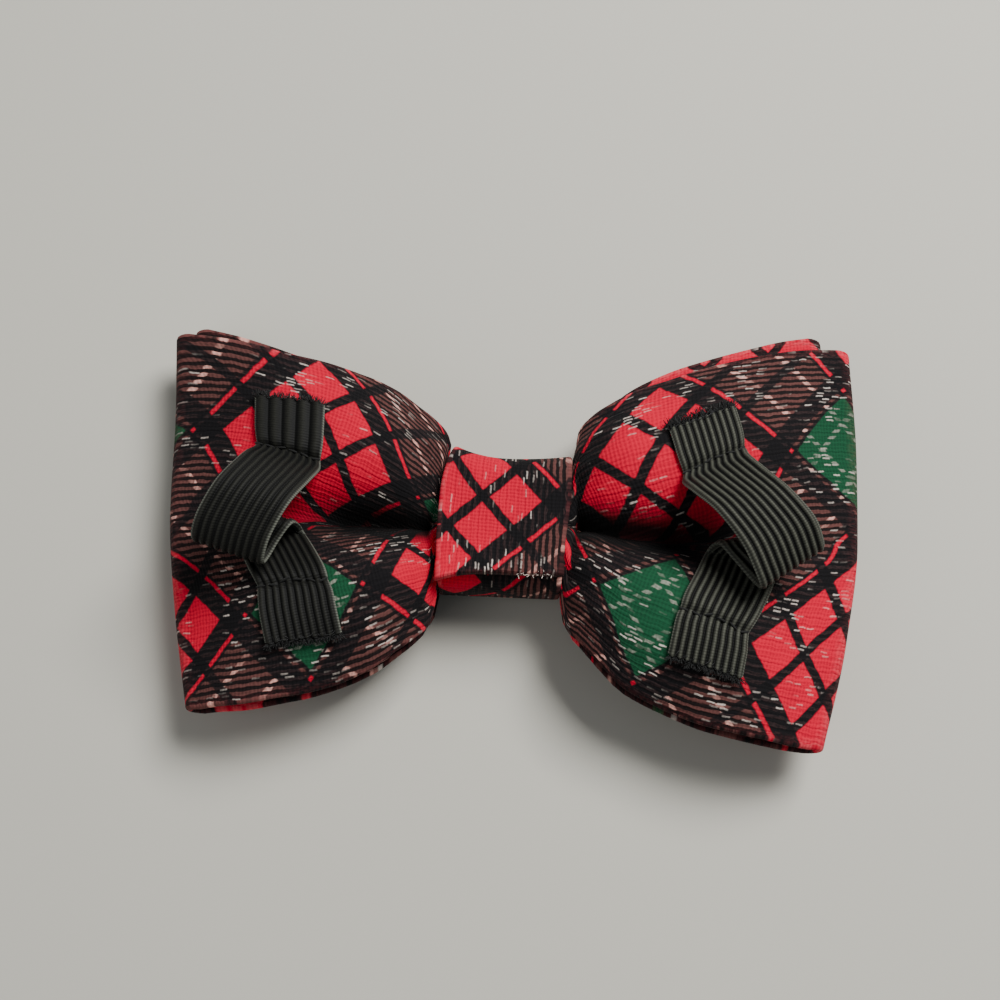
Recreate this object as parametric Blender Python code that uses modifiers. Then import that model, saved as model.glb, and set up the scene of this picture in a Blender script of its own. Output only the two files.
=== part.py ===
"""Double bow for a pet's collar, lying on its face with its elastic loops up.

Two looped bows of doubled cotton lie one on the other. A cotton wrap gathers both at the middle, and each
wing of the upper one carries a loop of ribbed elastic, sewn down at its two ends. Metres, +Z up, +X along
the bow, +Z away from the decorated front.
"""

import math

import bmesh
import bpy
import numpy as np

MM = 0.001

# Cloth, elastic and the small gaps between pieces
CLOTH = 1.0 * MM
WRAP = 1.0 * MM
ELASTIC = 1.0 * MM
PIECE_GAP = 0.3 * MM
BOW_GAP = 0.4 * MM
WRAP_GAP = 0.1 * MM

# Knot at the middle. Its upper corners flare, and its lower side is squeezed in below its waist.
KNOT_WIDTH = 16.4 * MM
KNOT_HEIGHT = 18.8 * MM
KNOT_DEPTH = 13.0 * MM
KNOT_LIFT = 0.6 * MM
KNOT_CORNER = 3.6 * MM
KNOT_FLARE_LEFT = 1.6 * MM
KNOT_FLARE_RIGHT = 0.7 * MM
KNOT_WAIST = 9.0 * MM
KNOT_SQUEEZE = 0.22
WRAP_TUCK = 7.0 * MM
WRAP_END = 2.0 * MM
RIM_ROOM = 1.2 * MM
EDGE_ROOM = 0.5 * MM
WING_START = KNOT_WIDTH / 2 + EDGE_ROOM

# Wings of the two bows. The front one is shorter, narrower at the knot, shifted up along its wings and
# pressed flat on its face.
LEFT_REACH = 46.3 * MM
RIGHT_REACH = 48.4 * MM
LEFT_HEIGHT = 53.1 * MM
RIGHT_HEIGHT = 56.4 * MM
BACK_LOFT = 8.4 * MM
FRONT_LOFT = 5.6 * MM
END_FOLD = 3.4 * MM
FOLD_LIFT = 0.34 * MM
FRONT_TRIM = 3.0 * MM
FRONT_INSET = 0.8 * MM
FRONT_SHIFT_LEFT = 3.0 * MM
FRONT_SHIFT_RIGHT = 3.9 * MM
FACE_PRESS = 0.67 * MM
KNOT_FADE = 4

# Elastic loops
BAND_WIDTH = 10.0 * MM
SLOPE_REACH = 0.6 * MM
HUMP_RISE = 6.2 * MM
LIFT_OFF = 0.3
LEFT_STITCH_X = -29.8 * MM
LEFT_STITCH_Y = 7.5 * MM
LEFT_SPACING = 18.3 * MM
LEFT_SWAY = -5.8 * MM
RIGHT_STITCH_X = 27.9 * MM
RIGHT_STITCH_Y = 8.6 * MM
RIGHT_SPACING = 22.1 * MM
RIGHT_SWAY = 9.4 * MM

# A wing from the knot's edge (along 0) to its outer fold (along 1), as shares.
# spread: from the knot's height to the wing's. drift: how far the wing's middle line strays up or
# down, of its height. shift: how far the front bow is shifted up. rise: from the knot's level to full
# loft. settle: from full loft to the flat outer fold. pleat: how deep the middle fold is.
WING_COLUMNS = (
    "along", "left_spread", "right_spread", "left_drift", "right_drift", "shift", "rise", "settle", "pleat",
)
WING_ROWS = (
    (0.00, 0.00, 0.00, 0.000, 0.000, 0.00, 0.00, 0.00, 0.50),
    (0.03, 0.32, 0.33, -0.014, 0.000, 0.06, 0.14, 0.00, 0.56),
    (0.07, 0.41, 0.41, -0.018, -0.002, 0.20, 0.45, 0.00, 0.62),
    (0.13, 0.50, 0.51, -0.022, -0.012, 0.42, 0.76, 0.00, 0.72),
    (0.22, 0.63, 0.64, -0.023, -0.023, 0.66, 0.95, 0.00, 0.84),
    (0.34, 0.74, 0.74, -0.023, -0.025, 0.80, 1.00, 0.02, 0.86),
    (0.48, 0.82, 0.83, -0.024, -0.025, 0.86, 1.00, 0.08, 0.67),
    (0.62, 0.87, 0.89, -0.024, -0.021, 0.90, 1.00, 0.20, 0.45),
    (0.76, 0.93, 0.94, -0.017, -0.015, 0.94, 1.00, 0.42, 0.24),
    (0.89, 0.97, 0.98, -0.006, -0.008, 0.98, 1.00, 0.74, 0.09),
    (1.00, 1.00, 1.00, 0.000, -0.003, 1.00, 1.00, 1.00, 0.00),
)

# The knot's two edges, from its lower side (up -1) to its upper side (up 1) and on to the flared
# corners, as shares of its half width.
KNOT_COLUMNS = ("up", "left", "right")
KNOT_ROWS = (
    (-1.00, 1.01, 0.90),
    (-0.30, 1.06, 0.95),
    (0.40, 1.04, 1.02),
    (1.15, 0.86, 1.03),
)

# Half of a gathered panel from its middle crease (across 0) to its rim (across 1):
# lean is the cloth's slope in degrees where the pleat is full.
LEAN_COLUMNS = ("across", "lean")
LEAN_ROWS = (
    (0.00, 0.0),
    (0.10, 62.0),
    (0.24, 46.0),
    (0.50, 0.0),
    (0.78, -30.0),
    (1.00, -44.0),
)

# The outer folds seen from above, from the lower rim (across -1) to the upper (across 1), as shares
# of each wing's reach.
END_COLUMNS = ("across", "left", "right")
END_ROWS = (
    (-1.0, 0.855, 0.855),
    (-0.5, 0.939, 0.947),
    (0.0, 1.000, 1.000),
    (0.5, 1.022, 1.007),
    (1.0, 1.058, 0.992),
)

# An elastic loop: down is a share of the stitch spacing, sway of the sideways swing, lift of the
# hump's rise, and turn is the band's turn in degrees, seen from above.
LOOP_COLUMNS = ("down", "sway", "lift", "turn")
LEFT_LOOP = (
    (-0.41, 0.08, 0.00, -8.0),
    (-0.20, 0.03, 0.00, -12.0),
    (0.00, 0.00, 0.00, -16.0),
    (0.10, 0.03, 0.20, -16.0),
    (0.22, 0.15, 0.60, -17.0),
    (0.44, 0.50, 1.00, -17.0),
    (0.66, 0.84, 0.94, -17.0),
    (0.79, 0.99, 0.74, -17.0),
    (0.835, 1.02, 0.52, -17.0),
    (0.78, 0.97, 0.31, -16.0),
    (0.67, 0.80, 0.30, -13.0),
    (0.585, 0.60, 0.33, -8.0),
    (0.545, 0.47, 0.17, -4.0),
    (0.60, 0.36, 0.01, 0.0),
    (0.78, 0.00, 0.00, 3.0),
    (1.00, -0.39, 0.00, 6.0),
    (1.22, -0.58, 0.00, 9.0),
    (1.41, -0.75, 0.00, 10.0),
)
RIGHT_LOOP = (
    (-0.27, -0.17, 0.00, 25.0),
    (-0.13, -0.08, 0.00, 26.0),
    (0.00, 0.00, 0.00, 27.0),
    (0.09, 0.02, 0.20, 25.0),
    (0.19, 0.14, 0.60, 22.0),
    (0.35, 0.44, 1.00, 20.0),
    (0.52, 0.77, 0.96, 25.0),
    (0.66, 0.95, 0.74, 33.0),
    (0.705, 1.00, 0.52, 35.0),
    (0.66, 0.93, 0.31, 32.0),
    (0.60, 0.78, 0.30, 22.0),
    (0.555, 0.62, 0.32, 10.0),
    (0.53, 0.53, 0.20, 3.0),
    (0.575, 0.45, 0.07, -4.0),
    (0.76, 0.27, 0.00, -12.0),
    (1.00, 0.00, 0.00, -17.0),
    (1.14, -0.07, 0.00, -16.0),
    (1.28, -0.13, 0.00, -15.0),
)

# How finely the solids are cut
HALF_STEPS = 8
FOLD_STEPS = 4
LOOP_STEPS = 34
BAND_COLUMNS = 4
CORNER_STEPS = 4
WRAP_COLUMNS = 6
SECTION_SAMPLES = 81
CURVE_SAMPLES = 12
PLAN_PASSES = 4

# Panels of the two bows, from the elastic side down
BACK_PANEL, BACK_LINING, FRONT_LINING, FRONT_PANEL = range(4)
PLEAT_SHARE = {BACK_PANEL: 1.0, BACK_LINING: 0.12, FRONT_LINING: 0.12, FRONT_PANEL: 0.6}


def column(rows, names, name):
    """One named column of a table as an array."""
    return np.array([row[names.index(name)] for row in rows], float)


def eased(shares, values, at):
    """A smooth curve through a table's values that never swings past them."""
    at = np.clip(np.asarray(at, float), shares[0], shares[-1])
    step = np.diff(shares)
    slope = np.diff(values) / step
    tangent = np.zeros(len(shares))
    same_way = slope[:-1] * slope[1:] > 0
    mean = 2 * slope[:-1] * slope[1:] / np.where(same_way, slope[:-1] + slope[1:], 1.0)
    tangent[1:-1] = np.where(same_way, mean, 0.0)
    tangent[0] = slope[0]
    tangent[-1] = slope[-1]
    i = np.clip(np.searchsorted(shares, at, side="right") - 1, 0, len(step) - 1)
    u = (at - shares[i]) / step[i]
    rise = values[i + 1] - values[i]
    start = tangent[i] * step[i]
    end = tangent[i + 1] * step[i]
    return values[i] + u * start + u**2 * (3 * rise - 2 * start - end) + u**3 * (start + end - 2 * rise)


def wing_value(name, along):
    """A column of the wing table at a share along the wing."""
    return float(eased(column(WING_ROWS, WING_COLUMNS, "along"), column(WING_ROWS, WING_COLUMNS, name), along))


def end_reach(side, across):
    """How far the outer fold stands out at a place across it, as a share of the wing's reach."""
    return eased(column(END_ROWS, END_COLUMNS, "across"), column(END_ROWS, END_COLUMNS, side), across)


def knot_levels():
    """The middle heights of the four panels where the knot holds them."""
    bottom = KNOT_LIFT + WRAP + PIECE_GAP + CLOTH / 2
    top = KNOT_LIFT + KNOT_DEPTH - 2 * WRAP - WRAP_GAP - PIECE_GAP - CLOTH / 2
    seat = seat_level()
    return {
        BACK_PANEL: top,
        BACK_LINING: seat + (CLOTH + BOW_GAP) / 2,
        FRONT_LINING: seat - (CLOTH + BOW_GAP) / 2,
        FRONT_PANEL: bottom,
    }


def seat_level():
    """The height of the plane where the two bows meet."""
    return CLOTH + FRONT_LOFT + BOW_GAP / 2


def loft_levels():
    """The middle heights of the four panels where the wings are fullest."""
    lining = seat_level() + (CLOTH + BOW_GAP) / 2
    return {
        BACK_PANEL: lining + BACK_LOFT,
        BACK_LINING: lining,
        FRONT_LINING: seat_level() - (CLOTH + BOW_GAP) / 2,
        FRONT_PANEL: CLOTH / 2 - FACE_PRESS,
    }


def fold_levels():
    """The middle heights of the four panels where they turn into the outer folds."""
    front_panel = CLOTH / 2 + FOLD_LIFT
    front_lining = front_panel + END_FOLD
    back_lining = front_lining + CLOTH + BOW_GAP
    return {
        BACK_PANEL: back_lining + END_FOLD,
        BACK_LINING: back_lining,
        FRONT_LINING: front_lining,
        FRONT_PANEL: front_panel,
    }


def knot_edge(side, y):
    """How far the knot's edge stands out on one side at a height y, as a share of its half width."""
    return eased(column(KNOT_ROWS, KNOT_COLUMNS, "up"), column(KNOT_ROWS, KNOT_COLUMNS, side), y / (KNOT_HEIGHT / 2))


def squeezed(y, z, strength):
    """Heights y on the knot's lower side, drawn in below its waist; strength is 1 in the knot."""
    below = np.clip((KNOT_WAIST - z) / KNOT_WAIST, 0, 1)
    return np.where(y < 0, y * (1 - KNOT_SQUEEZE * strength * below**2), y)


def wing_height(side):
    """The height of a wing at its outer fold."""
    return LEFT_HEIGHT if side == "left" else RIGHT_HEIGHT


def half_height(side, along, panel):
    """Half the height of a panel at a share along a wing."""
    knot = KNOT_HEIGHT / 2 - WRAP - PIECE_GAP - RIM_ROOM
    inset = FRONT_INSET * (1 - along) if panel in (FRONT_LINING, FRONT_PANEL) else 0.0
    return knot + (wing_height(side) / 2 - knot) * wing_value(side + "_spread", along) - inset


def pleat_section(pleat):
    """Half a gathered section, from crease to rim: its places across and its heights, for a half height of 1."""
    across = np.linspace(0, 1, SECTION_SAMPLES)
    lean = eased(column(LEAN_ROWS, LEAN_COLUMNS, "across"), column(LEAN_ROWS, LEAN_COLUMNS, "lean"), across)
    lean = np.radians(lean) * pleat
    step = across[1]
    y = np.concatenate([[0], np.cumsum((np.cos(lean[1:]) + np.cos(lean[:-1])) / 2 * step)])
    z = np.concatenate([[0], np.cumsum((np.sin(lean[1:]) + np.sin(lean[:-1])) / 2 * step)])
    return across, y / y[-1], (z - z.max()) / y[-1]


def panel_row(side, panel, along, turns):
    """The points across a panel at a share along a wing; turns are from -1, lower rim, to 1, upper rim."""
    rise = wing_value("rise", along)
    settle = wing_value("settle", along)
    knot, loft, fold = knot_levels()[panel], loft_levels()[panel], fold_levels()[panel]
    level = knot + (loft + (fold - loft) * settle - knot) * rise
    half = half_height(side, along, panel)
    across, out, drop = pleat_section(wing_value("pleat", along) * PLEAT_SHARE[panel])
    y = half * np.interp(abs(turns), across, out) * np.sign(turns)
    y = y + wing_height(side) * wing_value(side + "_drift", along)
    hang = half * np.interp(abs(turns), across, drop)
    facing = 1 if panel in (BACK_PANEL, FRONT_LINING) else -1
    z = level + facing * hang
    if panel == FRONT_PANEL:
        z = np.maximum(z, CLOTH / 2)
    reach = LEFT_REACH if side == "left" else RIGHT_REACH
    if panel in (FRONT_LINING, FRONT_PANEL):
        reach = reach - FRONT_TRIM
        y = y + (FRONT_SHIFT_LEFT if side == "left" else FRONT_SHIFT_RIGHT) * wing_value("shift", along)
    near_knot = (1 - along) ** KNOT_FADE
    y = squeezed(y, z, near_knot)
    ends = 1 + (end_reach(side, turns) - 1) * along**2
    edge = (knot_edge(side, y) - 1) * KNOT_WIDTH / 2 * near_knot
    x = WING_START + (reach - END_FOLD / 2 - WING_START) * along * ends + edge
    return x, y, z


def fold_rows(side, upper, lower, turns):
    """The rows round a wing's outer fold, between the ends of its upper and lower panels."""
    x_top, y_top, z_top = panel_row(side, upper, 1.0, turns)
    z_low = panel_row(side, lower, 1.0, turns)[2]
    radius = (z_top - z_low) / 2
    rows = []
    for k in range(1, FOLD_STEPS):
        angle = math.pi * k / FOLD_STEPS
        z = z_low + radius * (1 + math.cos(angle))
        rows.append((x_top + radius * math.sin(angle), y_top, z))
    return rows


def wing_rows(side, upper, lower, turns):
    """The rows of one wing's loop: out along its upper panel, round the fold and back along the lower."""
    stations = column(WING_ROWS, WING_COLUMNS, "along")
    out = [panel_row(side, upper, s, turns) for s in stations]
    back = [panel_row(side, lower, s, turns) for s in reversed(stations)]
    rows = out + fold_rows(side, upper, lower, turns) + back
    if side == "left":
        rows = [(-x, y, z) for x, y, z in reversed(rows)]
    return rows


def middle_row(panel, turns):
    """The row inside the knot, at the middle of the bow."""
    _, y, z = panel_row("right", panel, 0.0, turns)
    return np.zeros_like(y), y, z


def surface(name, rows, closed, collection):
    """An open surface through rows of points, as an object; closed joins the last row to the first."""
    bm = bmesh.new()
    grid = [[bm.verts.new(p) for p in zip(*row)] for row in rows]
    pairs = list(zip(grid, grid[1:]))
    if closed:
        pairs.append((grid[-1], grid[0]))
    for here, there in pairs:
        for k in range(len(here) - 1):
            bm.faces.new((here[k], there[k], there[k + 1], here[k + 1]))
    mesh = bpy.data.meshes.new(name)
    bm.to_mesh(mesh)
    bm.free()
    piece = bpy.data.objects.new(name, mesh)
    collection.objects.link(piece)
    return piece


def thicken(piece, thickness):
    """Gives an open surface its wall, half to each side, and smooth shading."""
    wall = piece.modifiers.new("wall", "SOLIDIFY")
    wall.thickness = thickness
    wall.offset = 0.0
    wall.use_even_offset = True
    piece.data.shade_smooth()
    return piece


def bow(name, upper, lower, collection):
    """One looped bow: a band of cloth that runs out to both ends and back, gathered at the middle."""
    half = np.linspace(0, 1, HALF_STEPS + 1)
    turns = np.concatenate([-half[:0:-1], half])
    rows = [middle_row(upper, turns)]
    rows += wing_rows("right", upper, lower, turns)
    rows += [middle_row(lower, turns)]
    rows += wing_rows("left", upper, lower, turns)
    return thicken(surface(name, rows, True, collection), CLOTH)


def corner(centre_y, centre_z, start, stop):
    """Points round one corner of the knot, between two angles in degrees."""
    radius = KNOT_CORNER - WRAP / 2
    angles = np.radians(np.linspace(start, stop, CORNER_STEPS + 1))
    return [(centre_y + radius * math.cos(a), centre_z + radius * math.sin(a)) for a in angles]


def wrap_path():
    """The knot's wrap seen from its end: from its tucked start, once round, to its folded end on the back."""
    side = KNOT_HEIGHT / 2 - KNOT_CORNER
    top = KNOT_LIFT + KNOT_DEPTH - KNOT_CORNER
    under = top - WRAP - WRAP_GAP
    bottom = KNOT_LIFT + KNOT_CORNER
    outer = KNOT_LIFT + KNOT_DEPTH - WRAP / 2
    inner = outer - WRAP - WRAP_GAP
    path = [(WRAP_TUCK - side, inner), (WRAP_TUCK / 2 - side, inner)]
    path += corner(-side, under, 90, 180)
    path += corner(-side, bottom, 180, 270)
    path += [(0.0, KNOT_LIFT + WRAP / 2)]
    path += corner(side, bottom, 270, 360)
    path += corner(side, top, 0, 90)
    path += [(side / 3, outer), (-side / 3, outer), (-side - WRAP_END, outer)]
    return path


def knot_wrap(collection):
    """The strip of cloth that is wrapped round the middle, flared where the wings push it open."""
    path = np.array(wrap_path())
    rows = []
    for share in np.linspace(-1, 1, WRAP_COLUMNS + 1):
        side = "left" if share < 0 else "right"
        flare = (KNOT_FLARE_LEFT if side == "left" else KNOT_FLARE_RIGHT) * share**2
        y = path[:, 0] + flare * np.maximum(path[:, 0], 0) / (KNOT_HEIGHT / 2)
        y = squeezed(y, path[:, 1], 1.0)
        rows.append((share * KNOT_WIDTH / 2 * knot_edge(side, y), y, path[:, 1]))
    return thicken(surface("knot_wrap", rows, False, collection), WRAP)


def back_height(x, y):
    """The height of the upper bow's back, midway in its cloth, over a point of the plan."""
    side = "left" if x < 0 else "right"
    half_turns = np.linspace(-1, 1, SECTION_SAMPLES)
    reach = LEFT_REACH if side == "left" else RIGHT_REACH
    free = reach - END_FOLD / 2 - WING_START
    along = (abs(x) - WING_START) / free
    for _ in range(PLAN_PASSES):
        row_x, row_y, row_z = panel_row(side, BACK_PANEL, min(max(along, 0.0), 1.0), half_turns)
        along += (abs(x) - np.interp(y, row_y, row_x)) / free
    return float(np.interp(y, row_y, row_z))


def seat_over(x, y, seat):
    """The height of something that lies on the upper bow's back with its middle a seat's height off the cloth."""
    here = back_height(x, y)
    slope = (back_height(x, y + SLOPE_REACH) - back_height(x, y - SLOPE_REACH)) / (2 * SLOPE_REACH)
    return here + seat * math.hypot(1, slope)


def curve_through(points, steps):
    """Evenly spaced points on a smooth curve that passes through the given ones."""
    ends = np.vstack([2 * points[0] - points[1], points, 2 * points[-1] - points[-2]])
    fine = []
    for k in range(len(points) - 1):
        a, b, c, d = ends[k : k + 4]
        for u in np.linspace(0, 1, CURVE_SAMPLES, endpoint=False):
            fine.append(
                0.5 * (2 * b + (c - a) * u + (2 * a - 5 * b + 4 * c - d) * u**2 + (3 * b - a - 3 * c + d) * u**3)
            )
    fine.append(points[-1])
    fine = np.array(fine)
    length = np.concatenate([[0], np.cumsum(np.linalg.norm(np.diff(fine[:, :3], axis=0), axis=1))])
    at = np.linspace(0, length[-1], steps + 1)
    return np.stack([np.interp(at, length, fine[:, k]) for k in range(fine.shape[1])], axis=1)


def elastic_loop(name, table, stitch_x, stitch_y, spacing, sway, collection):
    """A band of elastic sewn down at its two ends, with its free middle buckled into a lying S."""
    down = column(table, LOOP_COLUMNS, "down")
    x = stitch_x + sway * column(table, LOOP_COLUMNS, "sway")
    y = stitch_y - spacing * down
    lift = HUMP_RISE * column(table, LOOP_COLUMNS, "lift")
    turn = np.radians(column(table, LOOP_COLUMNS, "turn"))
    seat = CLOTH / 2 + PIECE_GAP + ELASTIC / 2
    stitched = [int(np.argmax(down == share)) for share in (0.0, 1.0)]
    level = sum(back_height(x[k], y[k]) for k in stitched) / len(stitched) + seat
    path = curve_through(np.stack([x, y, lift, turn], axis=1), LOOP_STEPS)
    rows = []
    for px, py, rise, angle in path:
        offsets = np.linspace(-BAND_WIDTH / 2, BAND_WIDTH / 2, BAND_COLUMNS + 1)
        row_x = px + offsets * math.cos(angle)
        row_y = py + offsets * math.sin(angle)
        ground = np.array([seat_over(a, b, seat) for a, b in zip(row_x, row_y)])
        free = min(max(rise / (HUMP_RISE * LIFT_OFF), 0.0), 1.0)
        free = free * free * (3 - 2 * free)
        rows.append((row_x, row_y, ground * (1 - free) + level * free + max(rise, 0.0)))
    return thicken(surface(name, rows, False, collection), ELASTIC)


def material(name, colour, roughness):
    """A plain surface of one colour."""
    made = bpy.data.materials.new(name)
    made.use_nodes = True
    shader = made.node_tree.nodes["Principled BSDF"]
    shader.inputs["Base Color"].default_value = (*colour, 1.0)
    shader.inputs["Roughness"].default_value = roughness
    shader.inputs["Metallic"].default_value = 0.0
    return made


def stand_on_origin(pieces):
    """Moves every piece alike, so that the base of their common box is centred on the origin."""
    graph = bpy.context.evaluated_depsgraph_get()
    corners = []
    for piece in pieces:
        shown = piece.evaluated_get(graph).to_mesh()
        corners += [tuple(v.co) for v in shown.vertices]
        piece.evaluated_get(graph).to_mesh_clear()
    low = np.min(corners, axis=0)
    high = np.max(corners, axis=0)
    shift = -np.array([(low[0] + high[0]) / 2, (low[1] + high[1]) / 2, low[2]])
    for piece in pieces:
        piece.location = shift
    print("moved by (mm)", np.round(shift / MM, 4))


def main():
    for old in list(bpy.data.objects):
        bpy.data.objects.remove(old, do_unlink=True)
    collection = bpy.data.collections.new("pet_bow_tie")
    bpy.context.scene.collection.children.link(collection)

    back = bow("back_bow", BACK_PANEL, BACK_LINING, collection)
    front = bow("front_bow", FRONT_LINING, FRONT_PANEL, collection)
    knot = knot_wrap(collection)
    left = elastic_loop(
        "elastic_loop_left", LEFT_LOOP, LEFT_STITCH_X, LEFT_STITCH_Y, LEFT_SPACING, LEFT_SWAY, collection
    )
    right = elastic_loop(
        "elastic_loop_right", RIGHT_LOOP, RIGHT_STITCH_X, RIGHT_STITCH_Y, RIGHT_SPACING, RIGHT_SWAY, collection
    )
    tartan = {
        back: material("back_bow_tartan", (0.32, 0.02, 0.03), 0.9),
        front: material("front_bow_tartan", (0.28, 0.02, 0.03), 0.9),
        knot: material("knot_tartan", (0.42, 0.02, 0.03), 0.9),
    }
    for piece, cloth in tartan.items():
        piece.data.materials.append(cloth)
    for piece in (left, right):
        piece.data.materials.append(material(piece.name + "_rubber", (0.03, 0.03, 0.026), 0.8))
    stand_on_origin([back, front, knot, left, right])


main()
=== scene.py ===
# %% [markdown]
# # A bow tie for a pet's collar
# The object is a slide-on bow tie of tartan cotton, lying on its decorated front, so that its back and its
# two elastic loops are up. The solid model gives every piece its place and size. This notebook makes the
# cloth, the elastic and the thread that a person would see and touch.

# %% Load the frame
import math

import bpy
import numpy as np
from mathutils.bvhtree import BVHTree
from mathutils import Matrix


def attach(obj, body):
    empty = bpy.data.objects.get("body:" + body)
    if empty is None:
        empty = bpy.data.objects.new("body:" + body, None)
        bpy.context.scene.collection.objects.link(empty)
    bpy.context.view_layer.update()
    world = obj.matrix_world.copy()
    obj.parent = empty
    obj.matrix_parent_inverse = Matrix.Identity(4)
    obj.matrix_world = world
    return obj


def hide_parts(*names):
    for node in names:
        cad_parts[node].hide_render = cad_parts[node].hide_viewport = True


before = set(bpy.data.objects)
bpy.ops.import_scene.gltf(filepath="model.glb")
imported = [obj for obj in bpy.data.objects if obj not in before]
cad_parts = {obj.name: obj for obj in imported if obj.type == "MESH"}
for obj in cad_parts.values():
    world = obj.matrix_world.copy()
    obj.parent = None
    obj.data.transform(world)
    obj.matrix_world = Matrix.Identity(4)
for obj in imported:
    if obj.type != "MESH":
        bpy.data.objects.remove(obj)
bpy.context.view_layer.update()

# %% [markdown]
# ## Sizes of the bow
# A maker cuts the cloth to a width and a length, so the bow is described by such sizes. They are the sizes
# of the solid model, in millimetres, so that the cloth lands where the solid is. `MOVED` is how far that
# model stands from the point that its sizes are measured from, which is the middle of the knot.

# %% Sizes in millimetres
MM = 0.001
MOVED = np.array([-0.1435, -1.7249, 0.0003])

CLOTH = 1.0
WRAP = 1.0
ELASTIC = 1.0
PIECE_GAP = 0.3
BOW_GAP = 0.4
WRAP_GAP = 0.1
SEAT_GAP = 0.1

KNOT_WIDTH = 16.4
KNOT_HEIGHT = 18.8
KNOT_DEPTH = 13.0
KNOT_LIFT = 0.6
KNOT_CORNER = 3.6
KNOT_FLARE = {"left": 1.6, "right": 0.7}
KNOT_WAIST = 9.0
KNOT_SQUEEZE = 0.22
KNOT_FADE = 4
WRAP_TUCK = 7.0
WRAP_END = 2.0
RIM_ROOM = 1.2
EDGE_ROOM = 0.5
WING_START = KNOT_WIDTH / 2 + EDGE_ROOM

REACH = {"left": 46.3, "right": 48.4}
HEIGHT = {"left": 53.1, "right": 56.4}
BACK_LOFT = 8.4
FRONT_LOFT = 5.6
END_FOLD = 3.4
FOLD_LIFT = 0.34
FRONT_TRIM = {"left": 1.4, "right": 3.0}
FRONT_INSET = 0.8
FRONT_SHIFT = {"left": 3.0, "right": 3.9}
FACE_PRESS = 0.67

BAND_WIDTH = 10.0
HUMP_RISE = 6.2
LIFT_OFF = 0.3
LOOP_PLACE = {
    "left": {"stitch": (-29.8, 7.5), "spacing": 18.3, "sway": -5.8},
    "right": {"stitch": (27.9, 8.6), "spacing": 22.1, "sway": 9.4},
}
print("bow", REACH["left"] + REACH["right"], "mm long")

# %% [markdown]
# ## How a wing changes along its length
# Each wing leaves the knot narrow and deeply gathered, swells into two lobes with a dark fold between them,
# and ends wide and flat. A short table with one row for each station is the clearest way to say so: every
# value is a share, and a smooth curve runs through the rows.

# %% Tables of the wings
WING_COLUMNS = (
    "along", "left_spread", "right_spread", "left_drift", "right_drift", "shift", "rise", "settle", "pleat",
)
WING_ROWS = (
    (0.00, 0.00, 0.00, 0.000, 0.000, 0.00, 0.00, 0.00, 0.50),
    (0.03, 0.32, 0.33, -0.014, 0.000, 0.06, 0.14, 0.00, 0.56),
    (0.07, 0.41, 0.41, -0.018, -0.002, 0.20, 0.45, 0.00, 0.62),
    (0.13, 0.50, 0.51, -0.022, -0.012, 0.42, 0.76, 0.00, 0.72),
    (0.22, 0.63, 0.64, -0.023, -0.023, 0.66, 0.95, 0.00, 0.84),
    (0.34, 0.74, 0.74, -0.023, -0.025, 0.80, 1.00, 0.02, 0.86),
    (0.48, 0.82, 0.83, -0.024, -0.025, 0.86, 1.00, 0.08, 0.67),
    (0.62, 0.87, 0.89, -0.024, -0.021, 0.90, 1.00, 0.20, 0.45),
    (0.76, 0.93, 0.94, -0.017, -0.015, 0.94, 1.00, 0.42, 0.24),
    (0.89, 0.97, 0.98, -0.006, -0.008, 0.98, 1.00, 0.74, 0.09),
    (1.00, 1.00, 1.00, 0.000, -0.003, 1.00, 1.00, 1.00, 0.00),
)
KNOT_COLUMNS = ("up", "left", "right")
KNOT_ROWS = (
    (-1.00, 1.01, 0.90),
    (-0.30, 1.06, 0.95),
    (0.40, 1.04, 1.02),
    (1.15, 0.86, 1.03),
)
LEAN_COLUMNS = ("across", "lean")
LEAN_ROWS = ((0.00, 0.0), (0.10, 62.0), (0.24, 46.0), (0.50, 0.0), (0.78, -30.0), (1.00, -44.0))
END_COLUMNS = ("across", "left", "right")
END_ROWS = (
    (-1.0, 0.855, 0.855),
    (-0.5, 0.939, 0.947),
    (0.0, 1.000, 1.000),
    (0.5, 1.022, 1.007),
    (1.0, 1.058, 0.992),
)


def column(rows, names, name):
    """One named column of a table as an array."""
    return np.array([row[names.index(name)] for row in rows], float)


def eased(shares, values, at):
    """A smooth curve through a table's values that never swings past them."""
    at = np.clip(np.asarray(at, float), shares[0], shares[-1])
    step = np.diff(shares)
    slope = np.diff(values) / step
    tangent = np.zeros(len(shares))
    same_way = slope[:-1] * slope[1:] > 0
    mean = 2 * slope[:-1] * slope[1:] / np.where(same_way, slope[:-1] + slope[1:], 1.0)
    tangent[1:-1] = np.where(same_way, mean, 0.0)
    tangent[0] = slope[0]
    tangent[-1] = slope[-1]
    i = np.clip(np.searchsorted(shares, at, side="right") - 1, 0, len(step) - 1)
    u = (at - shares[i]) / step[i]
    rise = values[i + 1] - values[i]
    start = tangent[i] * step[i]
    end = tangent[i + 1] * step[i]
    return values[i] + u * start + u**2 * (3 * rise - 2 * start - end) + u**3 * (start + end - 2 * rise)


def from_table(rows, names, name, at):
    """A column of a table at places along its first column, on a smooth curve."""
    return eased(column(rows, names, names[0]), column(rows, names, name), at)


def wing_value(name, along):
    """A column of the wing table at a share along the wing."""
    return float(from_table(WING_ROWS, WING_COLUMNS, name, along))


def bell(x):
    """A smooth bump that is 1 where x is 0 and falls off to both sides."""
    return np.exp(-(x**2))


print("wing table:", len(WING_ROWS), "stations")

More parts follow.
